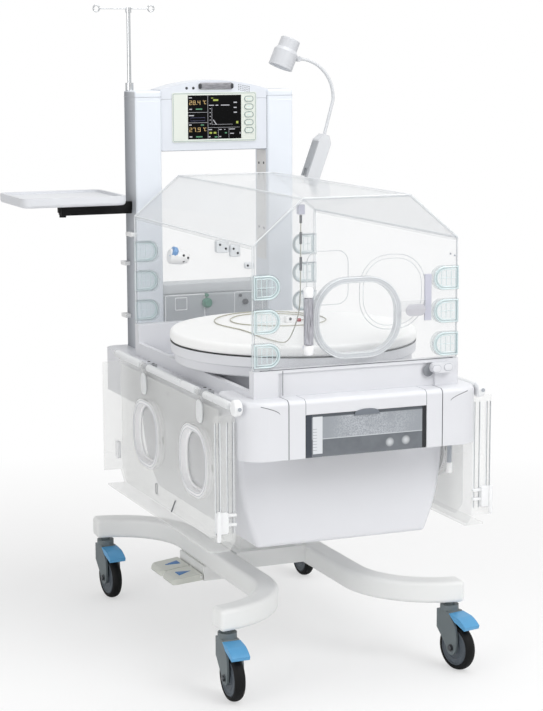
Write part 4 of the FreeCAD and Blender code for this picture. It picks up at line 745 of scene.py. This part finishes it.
# A flat grey oval on the hood frame left of the latch: painted shade of the recess there.
shade_and_line_grey = coated("latch_recess_shade", seen(132, 135, 140), 0.5, edge=0.0)
piece("latch_recess_shade", [slab(oval(0.030, 0.032, 0.015, (0.198, 0.832)), -0.6116, -0.6108, 0.0003, "XZ")], shade_and_line_grey,
      "cabinet")
STAY = (0.289, -0.560)
rod = [(0, 0), (0, 0.006), (0.083, 0.006), (0.083, 0)]
piece("stay_rod", [upright(spun(rod, 20, loop=False), *STAY, 0.560)], seam_grey, "cabinet")
rod_end = [(0, 0), (0, 0.0066), (0.0015, 0.0080), (0.027, 0.0080), (0.0285, 0.0066), (0.0285, 0)]
piece("stay_rod_end", [upright(spun(rod_end, 24, loop=False), *STAY, 0.545)], pod_white, "cabinet")
piece("knob_centres", [knob(x, 0.777, 0.0050, 0.0010, -0.6506, 0.0003) for x in (-0.337, 0.337)], seam_grey,
      "cabinet")


# Door trim. Each side door hangs from a smooth white rail; tongues hang over the sheet at its
# hinges, ribs stand along its front edge and a white latch sits at the lower front corner.
rail_white = coated("rail_white", seen(228, 230, 231), 0.3, tone=0.03, edge=0.0)
latch_white = coated("latch_white", seen(240, 241, 242), 0.35, edge=0.001)
AXIS, AXIS_LEVEL, LINER, EDGE = 0.343, 0.778, 0.347, -0.6052
LUGS = (-0.3985, 0.0435)


def sided(side, near, far):
    """Two distances from the middle plane, in rising order on the chosen side."""
    return sorted((side * near, side * far))


for side, door in ((-1, "left_door"), (1, "right_door")):
    rail = oval(0.021, 0.021, 0.0105, (side * AXIS, AXIS_LEVEL))
    piece(door + "_rail", [slab(rail, start, end, 0.0015, "XZ") for start, end in (
        (-0.600, -0.430), (-0.367, 0.012), (0.075, 0.296))], rail_white, door)
    faces = sided(side, LINER + 0.0003, LINER + 0.0035)
    piece(door + "_tongues", [slab(oval(0.044, 0.060, 0.018, (place, 0.730)), *faces, 0.001, "YZ") for place in LUGS],
          rail_white, door)
    piece(door + "_screws", [upright(spun([(0, 0), (0, 0.0046), (0.0012, 0.0038), (0.0012, 0)], 20, loop=False),
                                     side * 0.3265, place + step, 0.7869)
                             for place in LUGS for step in (-0.018, 0.018)], dark_plastic, "cabinet")
    piece(door + "_ribs", [run_between((side * x, EDGE, 0.456), (side * x, EDGE, 0.738), 0.0012)
                           for x in (0.3365, 0.3545, 0.3725, 0.3855)], edge_highlight, door)
    piece(door + "_rib_lines", [run_between((side * x, EDGE, 0.456), (side * x, EDGE, 0.738), 0.0007)
                                for x in (0.3390, 0.3520, 0.3750, 0.3835)], shade_and_line_grey, door)
    latch = [slab(oval(0.030, 0.054, 0.004, (side * 0.370, 0.486)), EDGE - 0.012, EDGE + 0.0003, 0.001, "XZ"),
             slab(oval(0.030, 0.007, 0.003, (side * 0.346, 0.504)), EDGE - 0.008, EDGE + 0.0003, 0.001, "XZ"),
             slab(oval(0.030, 0.007, 0.003, (side * 0.346, 0.480)), EDGE - 0.008, EDGE + 0.0003, 0.001, "XZ"),
             slab(oval(0.010, 0.078, 0.004, (side * 0.3815, 0.478)), EDGE - 0.016, EDGE - 0.0110, 0.001, "XZ"),
             slab(oval(0.022, 0.050, 0.004, (0.272, 0.500)), *sided(side, LINER, LINER + 0.010), 0.001, "YZ")]
    piece(door + "_latches", latch, latch_white, door)
    lines = [loop_of(oval(0.012, 0.030, 0.005, (-0.050, 0.452)), 0.0008, "YZ", side * (LINER + 0.0006)),
             run_between((side * (LINER + 0.001), -0.205, 0.452), (side * (LINER + 0.001), -0.172, 0.414), 0.0018)]
    piece(door + "_marks", lines, dark_seam, door)
    for place, part in ((-0.345, "front"), (0.034, "rear")):
        hand_port = ((0.212, 0.188), 0.084, (place, 0.590))
        piece(f"{door}_{part}_seal_lines", [loop_of(port_line(*hand_port, inset), 0.0007, "YZ", side * 0.3496)
                                            for inset in (0.0042, 0.0122)], seam_grey, door)
        piece(f"{door}_{part}_seal_lip", [loop_of(port_line(*hand_port, 0.0185), 0.0036, "YZ", side * 0.3330)],
              seal, door)


# Columns. Two powder-coated steel columns with a bluish-white front and a cap on top; the inner
# face of the right one carries a beige cover strip with screws.
column_paint = coated("column_paint", seen(228, 233, 240), 0.36, peel=1.2e-5, tone=0.02, edge=0.003)
across, along, level = column_paint.parts(column_paint.place())
# The left column's outer side carries painted shade, deepening towards the rear.
painted_shade_side = 1 - across.above(-0.2474)
column_paint.over(painted_shade_side, seen(196, 200, 206))
column_paint.over(painted_shade_side * ((along - 0.395) / 0.085).math("ADD", 0.0, clamp=True), seen(124, 129, 137))
dress(column_paint, "left_column", "right_column")
piece("column_cap_seams", [loop_of(oval(0.0816, 0.1026, 0.003, (x, 0.436)), 0.0006, "XY", 1.506)
                           for x in (-0.2075, 0.2075)], seam_grey, "cabinet")
hooks = [slab(oval(width, 0.012, 0.003, (y, z)), -0.266, -0.2475, 0.0015, "YZ")
         for y, z, width in ((0.466, 1.018, 0.040), (0.466, 0.862, 0.040), (0.410, 1.108, 0.050))]
piece("column_hooks", hooks, pod_white, "cabinet")
dress(powder, "lamp_bracket")
strip_beige = coated("strip_beige", seen(226, 224, 221), 0.45, tone=0.05, edge=0.001)
piece("column_strip", [slab(oval(0.070, 0.330, 0.006, (0.436, 1.180)), 0.1655, 0.1672, 0.0006, "YZ")],
      strip_beige, "cabinet")
screw = spun([(0, 0), (0, 0.0042), (0.0014, 0.0032), (0.0014, 0)], 20, loop=False)
screw_heads = [moved(screw, shifted(0.1655, y, z) @ turned(180, "Z")) for y, z in (
    (0.452, 1.303), (0.414, 1.305), (0.414, 1.273), (0.452, 1.270), (0.452, 1.110), (0.414, 1.110))]
piece("strip_screws", screw_heads, dark_plastic, "cabinet")


# Rear console. A grey housing between the columns under the hood's rear wall, with a light panel,
# an outlined square socket, a green oxygen connector and small sockets.
console_grey = coated("console_grey", seen(176, 180, 183), 0.45)
console_light = coated("console_light", seen(206, 209, 211), 0.42, edge=0.002)
console_line = coated("console_line", seen(244, 245, 246), 0.4, edge=0.0)
green_plastic = coated("connector_green", seen(52, 132, 104), 0.3, tone=0.12, edge=0.001)
dress(console_grey, "rear_console")
piece("console_cap", [slab(oval(0.334, 0.074, 0.004, (0, 0.4325)), 0.9255, 0.9560, 0.003)], console_light,
      "cabinet")
panel = oval(0.124, 0.100, 0.004, (-0.098, 0.872))
piece("console_panel", [slab(oval(0.130, 0.106, 0.006, (-0.098, 0.872)), CONSOLE_FACE - 0.0016, CONSOLE_FACE,
                             0.0006, "XZ")], console_grey, "cabinet")
piece("console_outlines", [loop_of(panel, 0.0016, "XZ", CONSOLE_FACE - 0.0016),
                           loop_of(oval(0.036, 0.036, 0.002, (-0.1113, 0.8965)), 0.0014, "XZ", CONSOLE_FACE - 0.0035),
                           loop_of(oval(0.090, 0.100, 0.004, (0.105, 0.872)), 0.0012, "XZ", CONSOLE_FACE - 0.0004)],
      console_line, "cabinet")
piece("oxygen_connector", [knob(-0.030, 0.8965, 0.0150, 0.012), knob(-0.030, 0.8965, 0.0105, 0.017),
                           knob(-0.031, 0.9190, 0.0060, 0.010)], green_plastic, "cabinet")
piece("console_sockets", [knob(0.078, 0.912, 0.0045, 0.006), knob(0.094, 0.893, 0.0085, 0.009)], dark_plastic,
      "cabinet")


# Sensor nozzle and clip blocks inside the rear wall: a white moulded nozzle with a blue cap and
# three dark vents, and three clear-white blocks that hold the probe sockets.
WALL = 0.295
nozzle = spun([(0, 0), (0, 0.019), (0.006, 0.0225), (0.040, 0.0205), (0.056, 0.0150), (0.061, 0.006), (0.061, 0)],
              40, loop=False)
stem = knob(-0.175, 1.055, 0.012, 0.008, WALL)
piece("nozzle", [moved(nozzle, shifted(-0.190, WALL - 0.026, 1.055) @ turned(8, "Y")), stem], pod_white,
      "cabinet")
cap_blue = coated("cap_blue", seen(120, 160, 206), 0.3, edge=0.001)
piece("nozzle_cap", [moved(spun([(0, 0), (0, 0.0150), (0.010, 0.0165), (0.016, 0.012), (0.016, 0)], 36, loop=False),
                           shifted(-0.184, WALL - 0.034, 1.0695) @ turned(25, "Y"))], cap_blue, "cabinet")
vents = [knob(x, z, 0.0036, 0.0012, WALL - reach) for x, z, reach in (
    (-0.152, 1.057, 0.0465), (-0.138, 1.049, 0.0425), (-0.152, 1.040, 0.0430))]
piece("nozzle_vents", vents, dark_plastic, "cabinet")
block_white = Finish("block_white", seen(232, 235, 238), 0.2, Alpha=0.85)
block_white.feed("Roughness", block_white.noise(60) * 0.1 + 0.18)
blocks = [slab(oval(width, height, 0.006, (x, z)), WALL - depth, WALL, 0.002, "XZ")
          for x, z, width, height, depth in ((-0.021, 1.074, 0.038, 0.037, 0.020), (0.020, 1.060, 0.031, 0.036, 0.016),
                                             (0.066, 1.014, 0.029, 0.019, 0.012))]
piece("probe_blocks", blocks, block_white, "cabinet")
sockets = [knob(x, z, 0.0036, 0.0012, WALL - depth) for x, z, depth in (
    (-0.030, 1.080, 0.020), (-0.012, 1.068, 0.020), (0.014, 1.066, 0.016), (0.027, 1.053, 0.016),
    (0.060, 1.014, 0.012))]
piece("probe_sockets", sockets, dark_plastic, "cabinet")


# Monitor. A white moulded case with a domed top, an alarm lamp, indicator dots and a speaker
# grille; on its front a pale green foil with five keys frames a dark glass screen.
foil = coated("fascia_foil", seen(222, 227, 219), 0.4, edge=0.0)
dress(foil, "monitor_fascia")
case_white = coated("monitor_white", seen(221, 225, 232), 0.34)
dress(case_white, "monitor_case")
screen = Finish("screen_glass", seen(5, 5, 6), 0.12, Specular_IOR_Level=0.12)
screen.feed("Roughness", screen.noise(40) * 0.08 + 0.08)
dress(screen, "monitor_screen")
SCREEN_LOW, SCREEN_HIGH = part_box("monitor_screen")
SCREEN_SIZE = SCREEN_HIGH - SCREEN_LOW
FOIL_FACE = 0.389
SEGMENTS = {"2": "abged", "4": "fgbc", "7": "abc", "8": "abcdefg", "9": "abcdfg", "C": "adef"}


def light_ink(name, colour, glow=0.8):
    """Lit print on the screen: its own colour and a little light of its own."""
    ink = Finish(name, darker(colour, 0.2), 0.4, Emission_Color=colour, Emission_Strength=glow)
    ink.feed("Emission Color", ink.blend(ink.noise(900), darker(colour, 0.75), colour))
    return ink


def patches(rectangles, face):
    """Thin flat bars on a wall that faces the front, from (low x, low z, high x, high z) rows."""
    return [slab([(left, foot), (right, foot), (right, head), (left, head)], face - 0.0003, face, 0.0001, "XZ", 1)
            for left, foot, right, head in rectangles]


def on_screen(rows):
    """Bars given as shares of the screen's width and height, from its lower left corner."""
    return patches([(SCREEN_LOW.x + left * SCREEN_SIZE.x, SCREEN_LOW.z + foot * SCREEN_SIZE.z,
                     SCREEN_LOW.x + right * SCREEN_SIZE.x, SCREEN_LOW.z + head * SCREEN_SIZE.z)
                    for left, foot, right, head in rows], SCREEN_LOW.y - 0.0001)


def number(text, left, foot, width, height, line=0.009):
    """Seven-segment figures in shares of the screen; a full stop takes a third of a place."""
    bars = []
    for sign in text:
        right, head, waist = left + width, foot + height, foot + height / 2
        spans = {"a": (left, head - line, right, head), "d": (left, foot, right, foot + line),
                 "g": (left, waist - line / 2, right, waist + line / 2), "f": (left, waist, left + line, head),
                 "e": (left, foot, left + line, waist), "b": (right - line, waist, right, head),
                 "c": (right - line, foot, right, waist)}
        if sign == ".":
            bars.append((left, foot, left + line * 1.3, foot + line * 1.5))
            left += width * 0.45
        else:
            bars += [spans[segment] for segment in SEGMENTS[sign]]
            left += width * 1.4
    return bars


amber, pale, leaf, lemon = (light_ink(name, colour) for name, colour in (
    ("screen_amber", seen(224, 190, 128)), ("screen_white", seen(206, 206, 212)), ("screen_green", seen(86, 150, 112)),
    ("screen_lemon", seen(176, 190, 84))))
figures = (number("28.4", 0.030, 0.785, 0.048, 0.095) + number("27.9", 0.030, 0.170, 0.048, 0.095)
           + [(0.285, 0.860, 0.298, 0.880), (0.285, 0.245, 0.298, 0.265)]
           + number("C", 0.308, 0.800, 0.036, 0.075) + number("C", 0.308, 0.185, 0.036, 0.075))
piece("screen_figures", on_screen(figures), amber, "cabinet")
rules = [(0.0, 0.609, 0.365, 0.615), (0.0, 0.374, 0.365, 0.380), (0.372, 0.0, 0.377, 1.0),
         (0.377, 0.258, 0.97, 0.263), (0.447, 0.330, 0.452, 0.715), (0.447, 0.328, 0.840, 0.333),
         (0.566, 0.02, 0.570, 0.250), (0.765, 0.02, 0.769, 0.250)]
labels = [(0.02, 0.935, 0.08, 0.955), (0.03, 0.675, 0.08, 0.695), (0.02, 0.530, 0.115, 0.552),
          (0.02, 0.318, 0.07, 0.340), (0.03, 0.045, 0.08, 0.070), (0.395, 0.760, 0.49, 0.778),
          (0.52, 0.760, 0.57, 0.778), (0.62, 0.760, 0.78, 0.778), (0.86, 0.815, 0.92, 0.840),
          (0.86, 0.700, 0.915, 0.722), (0.86, 0.590, 0.92, 0.612), (0.385, 0.205, 0.45, 0.222),
          (0.585, 0.205, 0.63, 0.222), (0.68, 0.205, 0.70, 0.222), (0.775, 0.210, 0.88, 0.228),
          (0.385, 0.040, 0.42, 0.062), (0.585, 0.040, 0.62, 0.062), (0.79, 0.110, 0.86, 0.128),
          (0.97, 0.105, 0.985, 0.145)]
labels += [(0.408, foot, 0.430, foot + 0.014) for foot in (0.685, 0.595, 0.510, 0.425, 0.340)]
labels += [(0.475 + 0.012 * step, 0.41 - 0.022 * step, 0.487 + 0.012 * step, 0.44 - 0.022 * step)
           for step in range(5)]
piece("screen_rules", on_screen(rules + labels), pale, "cabinet")
green_marks = [(0.150, 0.672, 0.270, 0.700), (0.240, 0.312, 0.300, 0.336), (0.150, 0.042, 0.270, 0.070),
               (0.500, 0.030, 0.550, 0.060), (0.690, 0.120, 0.730, 0.150)]
piece("screen_green_marks", on_screen(green_marks), leaf, "cabinet")
lemon_marks = [(0.475, 0.865, 0.570, 0.905), (0.440, 0.925, 0.475, 0.940), (0.905, 0.345, 0.945, 0.400),
               (0.400, 0.120, 0.450, 0.160), (0.480, 0.120, 0.530, 0.160)]
piece("screen_lemon_marks", on_screen(lemon_marks), lemon, "cabinet")
dim_blue = light_ink("screen_blue", seen(58, 60, 96))
box_line = np.array([(SCREEN_LOW.x + share_x * SCREEN_SIZE.x, SCREEN_LOW.z + share_z * SCREEN_SIZE.z)
                     for share_x, share_z in ((0.05, 0.42), (0.32, 0.42), (0.32, 0.49), (0.05, 0.49))])
piece("screen_blue_boxes", [loop_of(box_line, 0.0007, "XZ", SCREEN_LOW.y - 0.0002, 4)], dim_blue, "cabinet")

key_line = coated("key_line", seen(120, 146, 146), 0.4, edge=0.0)
key_cyan = coated("key_cyan", seen(206, 232, 230), 0.35, edge=0.0)
KEY_X, KEY_LEVELS = 0.108, (1.497, 1.474, 1.451, 1.428, 1.405)
piece("key_outlines", [loop_of(oval(0.0270, 0.0150, 0.0070, (KEY_X, level)), 0.0007, "XZ", 0.3875, 6)
                       for level in KEY_LEVELS], key_line, "cabinet")
key_bars = [(KEY_X - 0.006, level - 0.001, KEY_X + 0.006, level + 0.001) for level in KEY_LEVELS]
piece("key_marks", patches(key_bars, 0.3874), key_cyan, "cabinet")
piece("fascia_outline", [loop_of(oval(0.2580, 0.1380, 0.004, (0, 1.445)), 0.0006, "XZ", FOIL_FACE, 6)], key_line,
      "cabinet")

lamp_smoke = Finish("alarm_lamp", seen(120, 120, 124), 0.15, Coat_Weight=0.4)
# Lighter streaks over the smoked lens are painted sheen; the same streaks set its gloss.
painted_sheen = lamp_smoke.noise(60, 3, (1, 1, 4))
lamp_smoke.feed("Base Color", lamp_smoke.blend(painted_sheen, seen(96, 96, 102), seen(168, 168, 172)))
lamp_smoke.feed("Roughness", painted_sheen * 0.15 + 0.1)
piece("alarm_lamp", [slab(oval(0.110, 0.0200, 0.0090, (0.005, 1.5352)), 0.3875, 0.3925, 0.0015, "XZ")], lamp_smoke,
      "cabinet")
piece("lamp_ends", [slab(oval(0.009, 0.0150, 0.0044, (x, 1.5352)), 0.3870, 0.3925, 0.0006, "XZ")
                    for x in (-0.0450, 0.0550)], dark_plastic, "cabinet")
speaker = [knob(0.078 + 0.0065 * column, 1.5385 - 0.0050 * row - 0.0012 * column, 0.0014, 0.0005, CASE_FACE, 0.0003)
           for row in range(4) for column in range(6)]
piece("speaker_holes", speaker, dark_plastic, "cabinet")
piece("indicator_dots", [knob(x, 1.530, 0.0040, 0.0008, CASE_FACE, 0.0004) for x in (-0.086, -0.065)], dark_plastic,
      "cabinet")
piece("case_edges", [run_between((x, 0.3922, 1.353), (x, 0.3922, 1.507), 0.0010) for x in (-0.1672, 0.1672)]
      + [run_between((-0.1655, 0.3922, 1.3485), (0.1655, 0.3922, 1.3485), 0.0006)], dark_seam, "cabinet")
piece("case_seam", [loop_of(oval(0.3345, 0.150, 0.006, (0, 1.424)), 0.0006, "XZ", CASE_FACE - 0.0001, 6)], seam_grey,
      "cabinet")


# Drip pole, shelf and lamp. A bright steel pole with a hooked bar, a moulded shelf on a black
# arm, and an examination lamp with a metal gooseneck.
pole_steel = coated("pole_steel", seen(198, 200, 202), 0.22, peel=5e-6, grains=900, tone=0.05, edge=0.0006,
                    Metallic=0.9)
dress(pole_steel, "iv_pole")
tray_white = coated("shelf_white", seen(220, 222, 226), 0.4, edge=0.002)
dress(tray_white, "shelf")
black = coated("arm_black", seen(12, 12, 13), 0.45, edge=0.001, Specular_IOR_Level=0.2)
dress(black, "shelf_arm")
piece("arm_sleeve", [slab(oval(0.214, 0.033, 0.003, (-0.3562, 1.1846)), 0.4215, 0.4535, 0.0015, "XZ")], black,
      "cabinet")
lamp_white = coated("lamp_white", seen(206, 208, 212), 0.35, edge=0.002)
dress(lamp_white, "lamp_head")
grip_white = coated("grip_white", seen(214, 216, 219), 0.35, edge=0.002)
across, _, level = grip_white.parts(grip_white.place())
lean = across - level * 0.364
# The lower part of the grip's left face is darker: painted shade.
grip_white.over((1 - lean.above(-0.1496, 0.001)) * (1 - level.above(1.366)), seen(172, 175, 179))
dress(grip_white, "lamp_handle")


# Studio. A pale floor that fades to white, a white surround for the eye, and soft even light.
def stage_floor():
    """A wide floor: it shows the object's shadow near by and turns plain white further off."""
    finish = Finish("studio_floor", (0.93, 0.93, 0.93, 1.0), 0.9)
    across, along, _ = finish.parts(finish.place())
    reach = (across * across + along * along).math("SQRT")
    far = ((reach - 0.9) / 1.6).math("ADD", 0, clamp=True)
    eye = finish.node("ShaderNodeLightPath", {}, out="Is Camera Ray")
    glow = finish.node("ShaderNodeEmission", {}, (1, 1, 1, 1), 1.0)
    share = eye * (far * 0.5 + 0.5)
    mixed = finish.node("ShaderNodeMixShader", {}, share, Signal(finish, finish.shader.outputs[0]), glow)
    output = finish.tree.nodes["Material Output"]
    finish.tree.links.new(mixed.socket, output.inputs["Surface"])
    size = 40
    mesh = bpy.data.meshes.new("studio_floor")
    mesh.from_pydata([(-size, -size, 0), (size, -size, 0), (size, size, 0), (-size, size, 0)], [], [(0, 1, 2, 3)])
    mesh.materials.append(finish.material)
    floor = bpy.data.objects.new("studio_floor", mesh)
    bpy.context.scene.collection.objects.link(floor)


def surround(light):
    """White for the eye and for mirrors, and an even grey-white light on the object."""
    world = bpy.data.worlds.new("surround")
    world.use_nodes = True
    bpy.context.scene.world = world
    tree = world.node_tree
    ground = tree.nodes["Background"]
    ground.inputs["Color"].default_value = (1, 1, 1, 1)
    path = tree.nodes.new("ShaderNodeLightPath")
    seen_by = tree.nodes.new("ShaderNodeMath")
    seen_by.operation = "MAXIMUM"
    tree.links.new(path.outputs["Is Camera Ray"], seen_by.inputs[0])
    either = tree.nodes.new("ShaderNodeMath")
    either.operation = "MAXIMUM"
    tree.links.new(path.outputs["Is Transmission Ray"], either.inputs[0])
    tree.links.new(path.outputs["Is Glossy Ray"], either.inputs[1])
    tree.links.new(either.outputs[0], seen_by.inputs[1])
    strength = tree.nodes.new("ShaderNodeMapRange")
    strength.inputs["To Min"].default_value = light
    strength.inputs["To Max"].default_value = 1.0
    tree.links.new(seen_by.outputs[0], strength.inputs["Value"])
    tree.links.new(strength.outputs[0], ground.inputs["Strength"])


def lamp(name, spot, aim, size, power):
    """A square soft light at spot that points at aim."""
    data = bpy.data.lights.new(name, "AREA")
    data.size, data.energy = size, power
    item = bpy.data.objects.new(name, data)
    away = Matrix.Translation(spot).to_translation() - Matrix.Translation(aim).to_translation()
    item.location = spot
    item.rotation_euler = away.to_track_quat("Z", "Y").to_euler()
    bpy.context.scene.collection.objects.link(item)


stage_floor()
surround(0.50)
lamp("key", (1.6, -3.8, 3.6), (0, 0, 0.8), 2.2, 84)
lamp("top", (0.5, -0.6, 4.4), (0, 0, 0.9), 2.6, 62)
lamp("fill", (-4.0, -2.4, 1.8), (0, 0, 0.7), 2.2, 46)

bpy.context.scene.view_settings.view_transform = "Standard"
